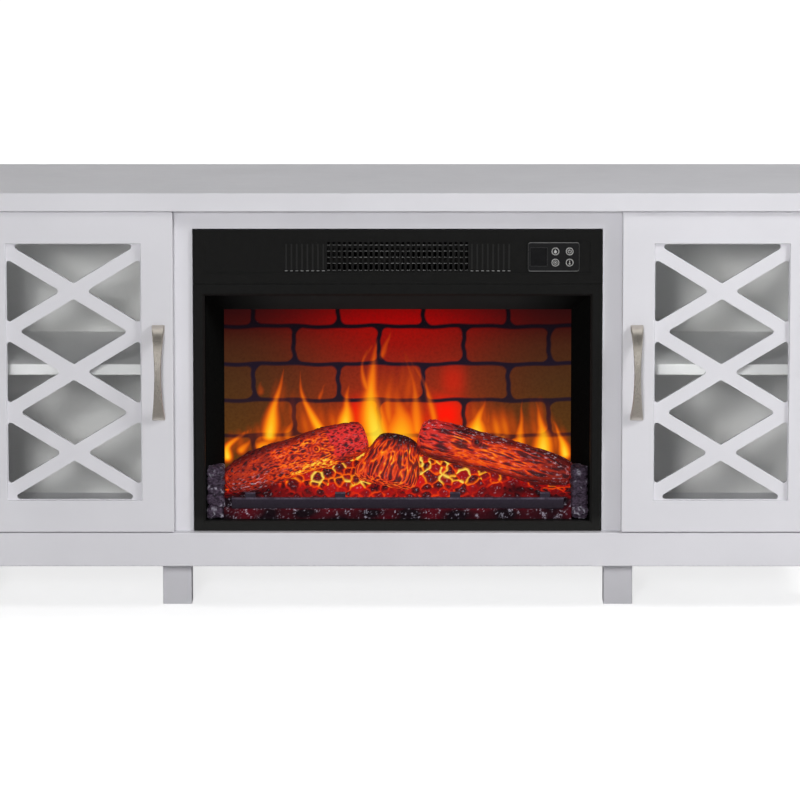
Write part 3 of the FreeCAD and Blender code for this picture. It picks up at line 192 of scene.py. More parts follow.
liner_black, tree, shader = finish_of("liner_black", Specular_IOR_Level=0.0)
roof = level(tree, axis_of(tree, "Z", "Normal"), 1, 0, -0.9, -0.7)
aside = sum_of(tree, axis_of(tree, "X"), 0.0, "ABSOLUTE")
# Painted light on the middle of the roof, fading to painted shade near the side walls.
painted_roof_light = sum_of(tree, roof, level(tree, aside, 1, 0, 0.17, 0.262))
soot = ramp(tree, grain(tree, 300, 3), [(0.3, tint(14, 15, 15)), (0.7, tint(22, 23, 22))])
tree.links.new(blend_of(tree, painted_roof_light, soot, tint(54, 57, 57)), shader.inputs["Base Color"])
tree.links.new(level(tree, grain(tree, 60), 0.55, 0.7, 0.3, 0.7), shader.inputs["Roughness"])
dress(["firebox_liner", "heater_duct"], liner_black)

# Heater: a finned element and a pressed blower wheel, both darkened by heat, and a plated motor.
# The fins keep a dull metal sheen along their edges.
fin_metal = mottled("fin_metal", [(40, 39, 38), (66, 65, 64)], (90, 4), (0.45, 0.65), (500, 2, (1, 1, 0.1)),
                    Metallic=1.0)
dress(["heating_element", "blower_wheel"], fin_metal)
motor_plate = mottled("motor_plate", [(128, 130, 134), (172, 173, 176)], (130, 3), (0.28, 0.46),
                      (700, 2, (0.1, 1, 1)), Metallic=1.0)
dress(["blower_motor", "rotor_motor"], motor_plate)

# Flame rotor: a shaft with crossed paddles of bright foil, which throws the moving flames on the screen.
# The foil is creased by hand and keeps soft dents.
foil = mottled("foil", [(198, 200, 204), (226, 227, 229)], (60, 2), (0.1, 0.28), (80, 4), ((70, 3), 0.3, 0.001),
               Metallic=1.0)
dress(["flame_rotor"], foil)

# Control board and lamp board: glass-fibre boards with green solder mask over copper tracks.
# They are screwed behind the fascia and under the log set.
circuit, tree, shader = finish_of("circuit", Specular_IOR_Level=0.5)
spot = add(tree, "ShaderNodeTexCoord").outputs["Object"]
tracks = add(tree, "ShaderNodeTexBrick", {"Vector": spot, "Scale": 220.0, "Mortar Size": 0.05,
                                          "Color1": tint(12, 74, 38), "Color2": tint(10, 62, 32),
                                          "Mortar": tint(34, 112, 60)})
tree.links.new(tracks.outputs["Color"], shader.inputs["Base Color"])
tree.links.new(level(tree, grain(tree, 300), 0.25, 0.4, 0.3, 0.7), shader.inputs["Roughness"])
dress(["control_board", "led_board"], circuit)

# Cord gland: a moulded black ring in the back of the housing, for the mains lead.
# It has the fine spark grain of the mould.
gland_plastic = mottled("gland_plastic", [(20, 20, 21), (30, 30, 31)], (400, 2), (0.45, 0.6), (900,),
                        Specular_IOR_Level=0.3)
dress(["cord_gland"], gland_plastic)


# Flame screen: a translucent sheet at the back of the firebox, printed with courses of brick that stand
# slightly proud, and lit from behind by the rotor with tongues of flame.
def new_piece(name, bm, body, material, smooth=False):
    """Object at the origin from a bmesh, riding on a body and taking its finish from a slot."""
    bmesh.ops.recalc_face_normals(bm, faces=bm.faces)
    mesh = bpy.data.meshes.new(name)
    bm.to_mesh(mesh)
    bm.free()
    for polygon in mesh.polygons:
        polygon.use_smooth = smooth
    mesh.materials.append(material)
    piece = bpy.data.objects.new(name, mesh)
    bpy.context.scene.collection.objects.link(piece)
    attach(piece, body)
    return piece


def keep_levels(piece, **levels):
    """Stores each level on the piece's points, for its material to read."""
    for name, values in levels.items():
        values = np.asarray(values, dtype=np.float32)
        kind, key = ("FLOAT_VECTOR", "vector") if values.ndim == 2 else ("FLOAT", "value")
        piece.data.attributes.new(name, kind, "POINT").data.foreach_set(key, values.ravel())


def level_of(tree, name, output="Fac"):
    return add(tree, "ShaderNodeAttribute", attribute_name=name).outputs[output]


def points_in(geometry):
    return [item for item in geometry if isinstance(item, bmesh.types.BMVert)]


def close_back(bm, send):
    """Walls from the free edges of a sheet to the place that each point is sent to, and a flat back."""
    rim = [edge for edge in bm.edges if edge.is_boundary]
    made = bmesh.ops.extrude_edge_only(bm, edges=rim)["geom"]
    for vertex in points_in(made):
        vertex.co = send(vertex.co)
    bmesh.ops.edgeloop_fill(bm, edges=[item for item in made if isinstance(item, bmesh.types.BMEdge)
                                       and item.is_boundary])


def stand_up(bm, low, high, face_y):
    """Turns a flat unit sheet upright and fits it to the front of a box."""
    bmesh.ops.transform(bm, matrix=Matrix.Translation(((low.x + high.x) / 2, face_y, (low.z + high.z) / 2))
                        @ Matrix.Rotation(math.radians(90), 4, "X")
                        @ Matrix.Diagonal((high.x - low.x, high.z - low.z, 1, 1)), verts=bm.verts)


def step_up(value, low, high):
    """Smooth step between two levels, for numbers and arrays."""
    share = np.clip((value - low) / (high - low), 0, 1)
    return share * share * (3 - 2 * share)


screen_low, screen_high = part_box("brick_screen")
bm = bmesh.new()
bmesh.ops.create_grid(bm, x_segments=360, y_segments=206, size=0.5)
stand_up(bm, screen_low, screen_high, screen_low.y)
sheet_points = len(bm.verts)
close_back(bm, lambda spot: Vector((spot.x, screen_high.y, spot.z)))

# Tongues of flame in millimetres from the middle and above the screen's foot: foot x and height, tip x and
# height, width, heat and sideways bow
TONGUES = [
    (-249, 78, -209, 119, 6, 1.05, -15), (-229, 88, -211, 106, 6, 0.7, 0), (-187, 110, -165, 205, 10, 1.0, -3),
    (-200, 174, -201, 194, 5, 0.3, 0), (-108, 110, -144, 202, 7, 0.95, -8), (-158, 96, -138, 112, 9, 1.1, 0),
    (-200, 93, -168, 110, 9, 0.75, 0), (-161, 110, -153, 136, 7, 0.6, 0), (-114, 166, -104, 190, 2.5, 0.4, 0),
    (-77, 120, -72, 184, 11, 1.05, 0), (-29, 102, -28, 248, 18, 1.12, -11), (-39, 170, -31, 250, 4.5, 0.62, -17),
    (-23, 228, -8, 272, 4, 0.42, 1), (5, 104, -5, 180, 25, 0.9, 4), (28, 118, 11, 230, 9, 0.7, 5),
    (53, 136, 11, 232, 5, 0.62, 7), (113, 104, 127, 160, 14, 1.12, -2), (132, 130, 134, 156, 4, 0.4, 0),
    (179, 93, 183, 160, 7, 0.8, -1), (213, 86, 201, 158, 12, 1.05, 4), (245, 82, 225, 132, 7, 1.05, 3),
    (172, 94, 178, 110, 9, 0.9, 0), (153, 100, 156, 114, 8, 0.85, 0),
]
# Soft glow behind the tongues: x, height, half width, half height and heat
HAZES = [(-126, 126, 30, 34, 0.46), (-90, 126, 24, 28, 0.46), (-13, 140, 26, 60, 0.52), (17, 175, 24, 48, 0.34),
         (148, 118, 30, 32, 0.55), (205, 116, 36, 34, 0.36), (-182, 108, 44, 22, 0.45), (-150, 140, 26, 40, 0.3),
         (-232, 98, 26, 22, 0.34), (60, 112, 40, 24, 0.42), (232, 100, 24, 26, 0.4), (-172, 160, 22, 40, 0.26),
         (120, 132, 26, 34, 0.4), (205, 140, 22, 30, 0.3)]
# Patches of bright red: x, height, half width, half height and strength
BLUSHES = [(-56, 137, 17, 26, 1.0), (71, 140, 26, 28, 1.0), (81, 190, 18, 26, 0.35), (21, 125, 60, 22, 0.5)]


def points_of(bm):
    """Every point of a bmesh as an array, in millimetres."""
    return np.array([vertex.co[:] for vertex in bm.verts]) * 1000


place = points_of(bm)
x, z = place[:, 0], place[:, 2] - screen_low.z * 1000
wave_x = x + 0.9 * np.sin(z * 0.13 + 1.3) + 0.6 * np.sin(z * 0.31 + x * 0.02)
wave_z = z + 0.9 * np.sin(x * 0.045) + 0.6 * np.sin(x * 0.11 + 2.0)
course = np.interp(wave_z, [-50, 5, 60, 110, 162, 215.5, 271, 327], [-2, -1, 0, 1, 2, 3, 4, 5])
brick_length, brick_height, corner = 124.0, 53.0, 9.0
half_joint, half_bed, mortar_depth = 3.1, 2.7, 0.0011
along = (wave_x - np.where(np.floor(course) % 2 == 0, 37.8, 96.9)) / brick_length
from_middle = np.abs((along - np.floor(along) - 0.5) * brick_length) - (brick_length / 2 - half_joint - corner)
from_centre = np.abs((course - np.floor(course) - 0.5) * brick_height) - (brick_height / 2 - half_bed - corner)
mortar = step_up(np.hypot(np.maximum(from_middle, 0), np.maximum(from_centre, 0)) - corner, -1.2, 0.9)

flames = np.zeros_like(x)
for foot_x, foot_z, tip_x, tip_z, width, strength, bow in TONGUES:
    for share in np.linspace(0, 1, 40):
        lick = 1.6 * share * math.sin(9 * share + foot_x)
        line_x = foot_x + (tip_x - foot_x) * share + bow * math.sin(math.pi * share) + lick
        line_z = foot_z + (tip_z - foot_z) * share
        reach = 1.3 * width * (1.02 - share) ** 0.75 * (0.75 + 0.35 * math.sin(math.pi * min(1, share * 1.6 + 0.2)))
        tall = (tip_z - foot_z) / 40 + 3.0 + reach * 0.5
        near = np.exp(-((x - line_x) / max(reach, 1.2)) ** 2 - ((z - line_z) / tall) ** 2)
        flames = np.maximum(flames, 0.94 * strength * (1 - 0.76 * share ** 1.3) * near)
for glow_x, glow_z, wide, tall, strength in HAZES:
    soft = strength * np.exp(-((x - glow_x) / wide) ** 2 - ((z - glow_z) / tall) ** 2)
    flames = np.maximum(flames, soft * (0.88 + 0.12 * np.sin(x * 0.45 + 2 * np.sin(z * 0.05))))
blush = np.zeros_like(x)
for glow_x, glow_z, wide, tall, strength in BLUSHES:
    spread = np.abs((x - glow_x) / wide) ** 2.6 + np.abs((z - glow_z) / tall) ** 2.6
    blush = np.maximum(blush, strength * np.exp(-spread))
redness = np.exp(-(np.abs(x + 3) / 128) ** 2.2)
bm.verts.ensure_lookup_table()
for vertex, sunk in zip(bm.verts[:sheet_points], mortar):
    vertex.co.y += mortar_depth * sunk

flame_print, tree, shader = finish_of("flame_print", Base_Color=tint(10, 5, 5), Roughness=0.5,
                                      Emission_Strength=1.0, Specular_IOR_Level=0.05)
bricks_from, bricks_to = 0.231, 0.431
rise = level(tree, axis_of(tree, "Z"), 0, 1, bricks_from, bricks_to)
outer_brick = ramp(tree, rise, [(0.0, tint(88, 56, 20)), (0.45, tint(74, 46, 22)), (0.72, tint(66, 34, 18)),
                                (0.86, tint(52, 10, 8)), (1.0, tint(34, 4, 6))])
inner_brick = ramp(tree, rise, [(0.0, tint(196, 60, 12)), (0.3, tint(160, 48, 20)), (0.55, tint(142, 36, 20)),
                                (0.72, tint(150, 16, 8)), (0.9, tint(158, 0, 0)), (1.0, tint(128, 0, 0))])
brick = blend_of(tree, level_of(tree, "redness"), outer_brick, inner_brick)
brick = blend_of(tree, level(tree, grain(tree, 260, 4), 0.0, 0.3, 0.4, 0.8), brick, tint(40, 10, 6))
brick = blend_of(tree, level_of(tree, "blush"), brick, tint(255, 22, 4))
joint = ramp(tree, rise, [(0.0, tint(44, 26, 28)), (0.5, tint(30, 21, 36)), (0.8, tint(16, 8, 18)),
                          (1.0, tint(5, 2, 6))])
wall = blend_of(tree, level_of(tree, "mortar"), brick, joint)
licks = level_of(tree, "flames")
flame = ramp(tree, licks, [(0.0, tint(150, 40, 6)), (0.35, tint(226, 84, 10)), (0.6, tint(255, 128, 14)),
                           (0.82, tint(255, 178, 24)), (1.0, tint(255, 222, 58))])
cover = ramp(tree, licks, [(0.1, 0.0), (0.3, 0.42), (0.55, 0.85), (0.8, 1.0)])
through = sum_of(tree, level_of(tree, "mortar"), level(tree, licks, 0.72, 0.12, 0.3, 0.85))
cover = sum_of(tree, cover, level(tree, through, 1.0, 0.0))
tree.links.new(blend_of(tree, cover, wall, flame), shader.inputs["Emission Color"])
screen = new_piece("flame_screen", bm, "cabinet", flame_print)
keep_levels(screen, mortar=mortar, flames=flames, blush=blush, redness=redness)
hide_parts("brick_screen")

# Ember bed: one thin resin moulding, an ash strip in front and a bank of coals rising to the screen. Lamps
# below it shine through the thin floor between the coals.
bed_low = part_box("ember_bed")[0]
bed_foot, bed_front, bed_half = bed_low.z * 1000, bed_low.y * 1000, 251.0
bed_line = np.array([(0, 0.6), (0, 15), (11, 16), (13, 27.8), (61, 90), (86.5, 90)])
runs = np.concatenate([[0], np.cumsum(np.hypot(*np.diff(bed_line, axis=0).T))])
fine_run = np.linspace(0, runs[-1], 600)
window = np.ones(15) / 15
line_back, line_rise = (
    np.convolve(np.pad(np.interp(fine_run, runs, bed_line[:, axis]), 7, "edge"), window, "valid") for axis in (0, 1))
line_turn = np.arctan2(np.gradient(line_rise), np.gradient(line_back))
bm = bmesh.new()
bmesh.ops.create_grid(bm, x_segments=400, y_segments=136, size=0.5)
flat = points_of(bm) / 1000
run = (flat[:, 1] + 0.5) * runs[-1]
depth, rise = np.interp(run, fine_run, line_back), np.interp(run, fine_run, line_rise)
lean = np.interp(run, fine_run, line_turn)
x = flat[:, 0] * 2 * bed_half
rise = np.where(rise > 27, 27 + (rise - 27) * (1 - 0.62 * step_up(np.abs(x), 165, 225)), rise)


def wrinkles(points, seed, *reach):
    """Noise at each point from -1 to 1, with its reach in millimetres along each axis."""
    return np.array([noise.noise(Vector((p[0] / reach[0], p[1] / reach[1], p[2] / reach[2] + seed))) for p in points])


# Coals of mixed sizes: each is kept where it leaves room to those before it, and grows until it meets the next
rng = np.random.default_rng(23)
coals = []
for size, tries in ((9.0, 70), (7.0, 220), (5.2, 600), (3.8, 1500)):
    for spot in rng.uniform((-254, runs[3] - 2), (254, runs[-1] + 4), (tries, 2)):
        if all(math.dist(spot, coal[:2]) > 0.92 * (size + coal[2]) for coal in coals):
            coals.append((*spot, size * rng.uniform(0.8, 1.1)))
coals = np.array(coals)
tone_of_coal = rng.uniform(0, 1, len(coals))
spread = np.stack([x, run, np.zeros_like(x)], 1)
bent = np.stack([x + 3.0 * wrinkles(spread, 4, 8, 8, 9), run + 3.0 * wrinkles(spread, 15, 8, 8, 9)], 1)
nearest, second, gap = [], [], []
for part in np.array_split(bent, 60):
    reach = np.hypot(*(part[:, None] - coals[None, :, :2]).transpose(2, 0, 1)) - coals[:, 2]
    order = np.argsort(reach, axis=1)[:, :2]
    near, far = np.take_along_axis(reach, order, axis=1).T
    nearest.append(order[:, 0])
    second.append(order[:, 1])
    gap.append(far - near)
nearest, second, gap = (np.concatenate(values) for values in (nearest, second, gap))
seam = (np.minimum(nearest, second) * 7919 + np.maximum(nearest, second) * 104729) % 997 / 997
on_bank = step_up(run, runs[3] - 1, runs[3] + 4)
edge_fade = step_up(np.abs(flat[:, 0]), 0.5, 0.485) * step_up(run, runs[-1], runs[-1] - 4)
rough = wrinkles(spread, 3, 2.6, 2.6, 3)
curls = wrinkles(spread + 2.0 * rough[:, None] * (1, 0, 0), 31, 3.6, 8, 4)
stand = (on_bank * (5.2 * (1 - np.exp(-gap / 5)) - 1.6 + 0.7 * rough)
         + (1 - on_bank) * (1.5 * curls + 0.4 * rough) * step_up(run, 0, 3))
slow = wrinkles(spread, 9, 34, 22, 9)
crack = np.exp(-(gap / (1.3 + 1.9 * seam + 0.5 * rough)) ** 2) * on_bank
blaze = np.clip(0.08 + 0.6 * step_up(np.abs(x + 8), 210, 70) + 0.36 * step_up(run, 50, 72) + 0.3 * slow, 0, 1)
ember = blaze * (0.4 + 0.75 * seam) * (0.64 + 0.44 * step_up(run, 50, 70))
for vertex, px, d, r, a, s in zip(bm.verts, x, depth, rise, lean, stand * edge_fade):
    vertex.co = Vector((px, bed_front + d - s * math.sin(a), bed_foot + max(r + s * math.cos(a), 0.4))) / 1000
bed_points = len(bm.verts)
close_back(bm, lambda spot: Vector((spot.x, spot.y, bed_low.z)))

ember_resin, tree, shader = finish_of("ember_resin", Specular_IOR_Level=0.1, Emission_Strength=1.0)
# Pale painted glints over the near-black base, on the ash strip's curls and the middles of wide coals.
tree.links.new(blend_of(tree, level_of(tree, "painted_glint"), tint(6, 3, 5), tint(176, 172, 188)),
               shader.inputs["Base Color"])
tree.links.new(level(tree, grain(tree, 240, 3), 0.3, 0.6, 0.3, 0.7), shader.inputs["Roughness"])
fire = level_of(tree, "blaze")
coal = ramp(tree, level_of(tree, "tone"), [(0.0, tint(38, 17, 22)), (0.45, tint(72, 24, 28)),
                                           (0.75, tint(140, 20, 26)), (1.0, tint(208, 20, 22))])
skin = level(tree, grain(tree, 380, 4, (1, 1, 1), 0.6), 0.0, 0.6, 0.48, 0.68)
coal = blend_of(tree, skin, coal, tint(196, 26, 20))
coal = blend_of(tree, fire, tint(20, 7, 10), coal)
coal = blend_of(tree, sum_of(tree, level_of(tree, "halo"), fire), coal, tint(238, 26, 12))
band = ramp(tree, level_of(tree, "ember"), [(0.0, tint(44, 10, 13)), (0.22, tint(132, 18, 18)),
                                            (0.42, tint(226, 46, 14)), (0.62, tint(255, 104, 12)),
                                            (0.82, tint(255, 172, 30)), (1.0, tint(255, 226, 90))])
lit = blend_of(tree, level_of(tree, "crack"), coal, band)
tree.links.new(blend_of(tree, level_of(tree, "bank"), level_of(tree, "ash", "Color"), lit),
               shader.inputs["Emission Color"])
relief(tree, shader, grain(tree, 420, 4), 0.5, 0.001)
# The ash strip's colour is painted glow: near black, redder on its upper edge and top by the coals, and in patches.
ash_glow_red = np.clip(0.1 + 0.75 * step_up(run, 9, 24) * step_up(np.abs(x), 235, 120) + 0.5 * slow, 0, 1)[:, None]
grey_ash_glow, red_ash_glow = np.array(tint(16, 6, 11)[:3]), np.array(tint(104, 10, 24)[:3])
ash = grey_ash_glow + ash_glow_red * (red_ash_glow - grey_ash_glow)
ember_bed = new_piece("ember_bed_cast", bm, "cabinet", ember_resin, smooth=True)
patchy = step_up(wrinkles(spread, 47, 8, 12, 5), -0.15, 0.25)
# Where the painted glints fall: curly streaks on the ash strip, and the middles of wide coals.
painted_glint = ((1 - on_bank) * np.exp(-((curls - 0.16) / 0.05) ** 2) * patchy
         + on_bank * 0.4 * step_up(gap, 6, 9) * step_up(rough, 0.2, 0.5))
extra = np.zeros(len(ember_bed.data.vertices) - bed_points)
keep_levels(ember_bed, ash=np.concatenate([ash, np.zeros((extra.size, 3)) + 0.005]),
            **{name: np.append(values, extra) for name, values in (
                ("crack", crack), ("halo", 0.95 * np.exp(-gap / 2.0)), ("ember", ember), ("blaze", blaze),
                ("bank", on_bank), ("tone", tone_of_coal[nearest]), ("painted_glint", painted_glint))})
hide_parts("ember_bed")

# Charred blocks: two split stubs of the same casting that close the ends of the ember bed. They are
# unlit, soot grey, with pale painted highlights on their ridges, more of them on the lower part.
charred, tree, shader = finish_of("charred", Specular_IOR_Level=0.4)
worn = level_of(tree, "worn")
soot = ramp(tree, grain(tree, 260, 4, (1, 1, 2.5)), [(0.35, tint(30, 22, 33)), (0.65, tint(88, 74, 92))])
# Pale painted highlights on the ridges, which are also made glossier.
tree.links.new(blend_of(tree, worn, soot, tint(184, 180, 194)), shader.inputs["Base Color"])
tree.links.new(level(tree, worn, 0.6, 0.35), shader.inputs["Roughness"])
relief(tree, shader, grain(tree, 500, 4), 0.6, 0.001)
block_wide, block_deep, block_tall = 27.0, 36.0, 77.0
block_out, block_back, block_round = 263.2, 17.0, 5.0
half_block = np.array((block_wide, block_deep, block_tall)) / 2
for side, sign in (("left", -1), ("right", 1)):
    bm = bmesh.new()
    bmesh.ops.create_cube(bm, size=1)
    bmesh.ops.subdivide_edges(bm, edges=bm.edges[:], cuts=47, use_grid_fill=True)
    place = points_of(bm) / 1000 * 2 * half_block
    corner = np.clip(np.abs(place) - (half_block - block_round), 0, block_round)
    reach = np.linalg.norm(corner, axis=1)
    pull = np.where(reach > 0, np.max(corner, axis=1) / np.maximum(reach, 1e-6), 1)
    place = np.sign(place) * (np.abs(place) - corner + corner * pull[:, None])
    seed = 40 + 9 * sign
    split = wrinkles(place, seed, 11, 11, 8) + 0.5 * wrinkles(place, seed + 5, 5, 5, 3.2)
    slant = place[:, 2] - 0.15 * sign * place[:, 0]
    waist = 1 - sum(0.2 * np.exp(-((slant - notch) / 2.2) ** 2) for notch in (-23, -4, 9, 23))
    scale = (0.93 + 0.16 * split) * waist
    bm.verts.ensure_lookup_table()
    for vertex, spot, k in zip(bm.verts, place, scale):
        vertex.co = Vector((sign * block_out + spot[0] * min(k, 1.02),
                            bed_front + block_back + spot[1] * min(k, 1.0),
                            bed_foot + block_tall / 2 + spot[2] * min(0.5 + k / 2, 1.0))) / 1000
    block = new_piece(f"{side}_charred_block", bm, "cabinet", charred, smooth=True)
    # Painted highlights along the ridges, more of them low on the block.
    painted_light_mask = wrinkles(place, seed + 9, 9, 9, 12) + 0.4 * step_up(place[:, 2], -14, -24)
    keep_levels(block, worn=np.exp(-((split - 0.3) / 0.09) ** 2) * step_up(painted_light_mask, -0.05, 0.4))
    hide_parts("ember_bed")


# Logs: three resin castings taken from real wood and laid across the bed. The raised ridges of the bark are
# painted as char, and the thin cracks between them let the lamp light through.
def cast_log(start, finish, girths, rise, lump, reach, width, knot):
    """Closed log with cracked bark, and each point's share of the length, facing, bark place, crack and knot."""
    bm = bmesh.new()
    bmesh.ops.create_uvsphere(bm, u_segments=240, v_segments=280, radius=1)
    axis = Vector(finish) - Vector(start)
    ahead = axis.normalized()
    across = ahead.cross(Vector((0, 0, 1))).normalized()
    top = across.cross(ahead)
    turn = np.linspace(0, math.pi, 4000)
    lengthwise, girthwise = np.sign(np.cos(turn)) * np.abs(np.cos(turn)) ** 0.4, np.sin(turn) ** 0.4
    walked = np.concatenate([[0], np.cumsum(np.hypot(np.diff(lengthwise) * axis.length / 2,
                                                     np.diff(girthwise) * max(girths)))])
    ball = points_of(bm) / 1000
    path = np.arccos(np.clip(ball[:, 2], -1, 1)) / math.pi * walked[-1]
    share = (np.interp(path, walked, lengthwise) + 1) / 2
    girth = np.interp(share, np.linspace(0, 1, len(girths)), girths) * np.interp(path, walked, girthwise)
    angle = np.arctan2(ball[:, 1], ball[:, 0])
    way = np.outer(np.cos(angle), across) + np.outer(np.sin(angle), top)
    bark = np.stack([share * axis.length, girth * np.cos(angle), girth * np.sin(angle)], 1)
    swell = 2.4 * wrinkles(bark, lump, 50, 20, 20) + 1.2 * wrinkles(bark, lump + 3, 16, 8, 8)
    wander = np.stack([np.zeros_like(share), *(wrinkles(bark, lump + seed, 15, 9, 9) for seed in (7, 11))], 1)
    long, short = reach
    lines = (wrinkles(bark + 2.2 * wander, lump + 17, long, short, short)
             + 0.35 * wrinkles(bark, lump + 23, long * 0.4, short * 0.4, short * 0.4))
    crack = np.exp(-(lines / width) ** 2)
    around = 28 * (np.arcsin(np.clip(way[:, 2], -1, 1)) - knot[1]) + 90 * (way[:, 1] > 0.3)
    off_knot = np.hypot((share - knot[0]) * axis.length, around)
    knotted = np.exp(-(off_knot / 7.5) ** 2)
    crack = crack * (1 - knotted) + knotted * (0.5 + 0.5 * np.cos(off_knot * 1.4))
    arch = np.outer(rise * np.sin(math.pi * share), (0, 0, 1))
    middle = np.outer(1 - share, start) + np.outer(share, finish) + arch
    proud = swell + 1.3 * (0.6 - crack) + 2.0 * knotted
    placed = middle + way * (girth + proud * np.clip(girth / 12, 0, 1))[:, None]
    for vertex, spot in zip(bm.verts, placed):
        vertex.co = Vector(spot) / 1000
    return bm, share, way, bark, crack, knotted


def bark_finish(name):
    """Charred resin bark: the cracks glow by their glow level or in crimson; the ridges stay dark, with pale painted
    glints.
    """
    material, tree, shader = finish_of(name, Specular_IOR_Level=0.22, Emission_Strength=1.0)
    bark = level_of(tree, "bark", "Vector")
    crimson, crack = level_of(tree, "crimson"), level_of(tree, "crack")
    flicker = level(tree, grain(tree, 110, 3, (0.4, 1, 1), 0.6, bark), -0.4, 0.4, 0.3, 0.7)
    flow = sum_of(tree, level_of(tree, "warmth"), sum_of(tree, flicker, 1.0, "ADD"))
    glow = ramp(tree, flow, [(0.0, tint(30, 9, 12)), (0.2, tint(104, 24, 18)), (0.4, tint(176, 48, 18)),
                             (0.6, tint(240, 78, 12)), (0.8, tint(255, 128, 16)), (1.0, tint(255, 206, 60))])
    flank = ramp(tree, flow, [(0.0, tint(32, 9, 13)), (0.3, tint(124, 26, 20)), (0.6, tint(190, 36, 17)),
                              (1.0, tint(226, 62, 14))])
    char = ramp(tree, flow, [(0.0, tint(20, 8, 12)), (0.3, tint(58, 19, 22)), (0.6, tint(86, 25, 25)),
                             (1.0, tint(120, 36, 20))])
    hot = blend_of(tree, level(tree, crack, 0, 1, 0.05, 0.5), char, flank)
    hot = blend_of(tree, level(tree, crack, 0, 1, 0.55, 0.95), hot, glow)
    rind = blend_of(tree, crack, tint(62, 15, 23), tint(232, 50, 46))
    tree.links.new(blend_of(tree, crimson, hot, rind), shader.inputs["Emission Color"])
    # Pale specks and patches on the ridges are painted glints.
    glint_specks = ramp(tree, grain(tree, 330, 3, (0.5, 1, 1), 0.5, bark), [(0.57, 0.0), (0.7, 1.0)])
    tree.links.new(blend_of(tree, sum_of(tree, glint_specks, level_of(tree, "worn")), tint(13, 8, 10), tint(176, 168, 180)),
                   shader.inputs["Base Color"])
    tree.links.new(level(tree, flicker, 0.35, 0.6, -0.4, 0.4), shader.inputs["Roughness"])
    relief(tree, shader, grain(tree, 380, 4, (0.5, 1, 1), 0.6, bark), 0.4, 0.0008)
    return material


def lay_log(name, made, warmth, crimson, worn):
    bm, bark, crack = made[0], made[3], made[4]
    log = new_piece(f"{name}_cast", bm, "cabinet", bark_finish(f"{name}_bark"), smooth=True)
    keep_levels(log, bark=bark / 1000, crack=crack, warmth=warmth, crimson=crimson, worn=worn)
    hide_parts(name)


made = cast_log((-249, -117, bed_foot + 50), (-46, -93, bed_foot + 114), [24, 28, 28, 28, 28, 27],
                rise=3, lump=3.1, reach=(8, 3.6), width=0.32, knot=(0.64, 0.22))
share, way, bark = made[1:4]
lift = way[:, 2]
warmth = 0.36 + 0.3 * step_up(share, 0.15, 0.55) + 0.2 * step_up(share, 0.3, 0.55) * step_up(lift, -0.1, -0.6)
lobe = step_up(share + 0.03 * wrinkles(bark, 77, 16, 8, 8), 0.735, 0.765)
# Painted shade: the glow is turned down on the top and, at the left end, on the underside.
warmth *= (1 - 0.5 * lobe) * (1 - 0.75 * step_up(lift, 0.66, 0.98))
warmth *= 1 - 0.5 * step_up(lift, -0.5, -0.95) * step_up(share, 0.35, 0.2)
# The crimson end is kept off the top and the underside as painted shade; painted highlights sit low on the left part.
lay_log("left_log", made, warmth, lobe * (1 - 0.75 * step_up(lift, 0.75, 0.98)) * step_up(lift, -0.8, -0.4),
        0.15 + 0.85 * step_up(share, 0.42, 0.2) * step_up(lift, 0.2, -0.3))
made = cast_log((254, -117, bed_foot + 60), (31, -93, bed_foot + 114), [22, 25, 26, 27, 29, 32],
                rise=0, lump=8.6, reach=(30, 4.8), width=0.28, knot=(0.63, 0.55))
share, way, knotted = made[1], made[2], made[5]
lift = way[:, 2]
warmth = 0.24 + 0.4 * step_up(share, 0.08, 0.4) - 0.18 * step_up(share, 0.7, 0.95)
# Painted shade: the glow is turned down on the top and the underside; the knot stays dark.
warmth *= (1 - 0.7 * step_up(lift, 0.55, 0.95)) * (1 - 0.6 * step_up(lift, -0.35, -0.8)) * (1 - 0.95 * knotted)
# The crimson end is kept off the underside as painted shade; painted highlights sit on the top and the right end.
lay_log("right_log", made, warmth, 0.75 * step_up(share, 0.72, 0.9) * step_up(lift, -0.6, 0.1),
        0.2 + 0.5 * step_up(share, 0.3, 0.05) + 0.6 * step_up(lift, 0.45, 0.8))
made = cast_log((-19, -117, bed_foot + 42), (1, -91, bed_foot + 113), [43, 41, 36, 30, 25],
                rise=0, lump=14.2, reach=(90, 6.2), width=0.22, knot=(0.5, 3.0))
bm, share, way = made[:3]
bmesh.ops.scale(bm, vec=(1.14, 0.86, 1.0), space=Matrix.Translation((0.008, 0.112, 0)), verts=bm.verts)
lift = np.maximum(step_up(way[:, 2], 0.35, 0.8), step_up(share, 0.7, 0.92))
# The glow is left off the top and the upper end, where painted highlights sit.
lay_log("centre_log", made, 0.7 * (1 - 0.97 * lift), 0.25 * step_up(share, 0.4, 0.1), 0.1 + 0.5 * lift)

# Grate bar: a cast bar with four short prongs that holds the coals back, screwed to the front of the bed.
# The casting is black, darker toward its foot as painted shade, with a grey painted highlight along its top edges.
grate_iron, tree, shader = finish_of("grate_iron", Specular_IOR_Level=0.35)
tree.links.new(level(tree, grain(tree, 160, 3), 0.4, 0.6, 0.3, 0.7), shader.inputs["Roughness"])
relief(tree, shader, grain(tree, 600, 3), 0.25, 0.0006)
bar_low, bar_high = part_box("grate_bar")
bar_height = 0.016
bar_top = bar_low.z + bar_height
up = axis_of(tree, "Z")
# Painted shade: the bar darkens toward its foot.
iron = blend_of(tree, level(tree, up, 0, 1, bar_low.z, bar_top), tint(28, 20, 31), tint(44, 35, 49))
iron = blend_of(tree, level(tree, grain(tree, 350, 4), 0.0, 0.5, 0.4, 0.7), iron, tint(24, 18, 28))
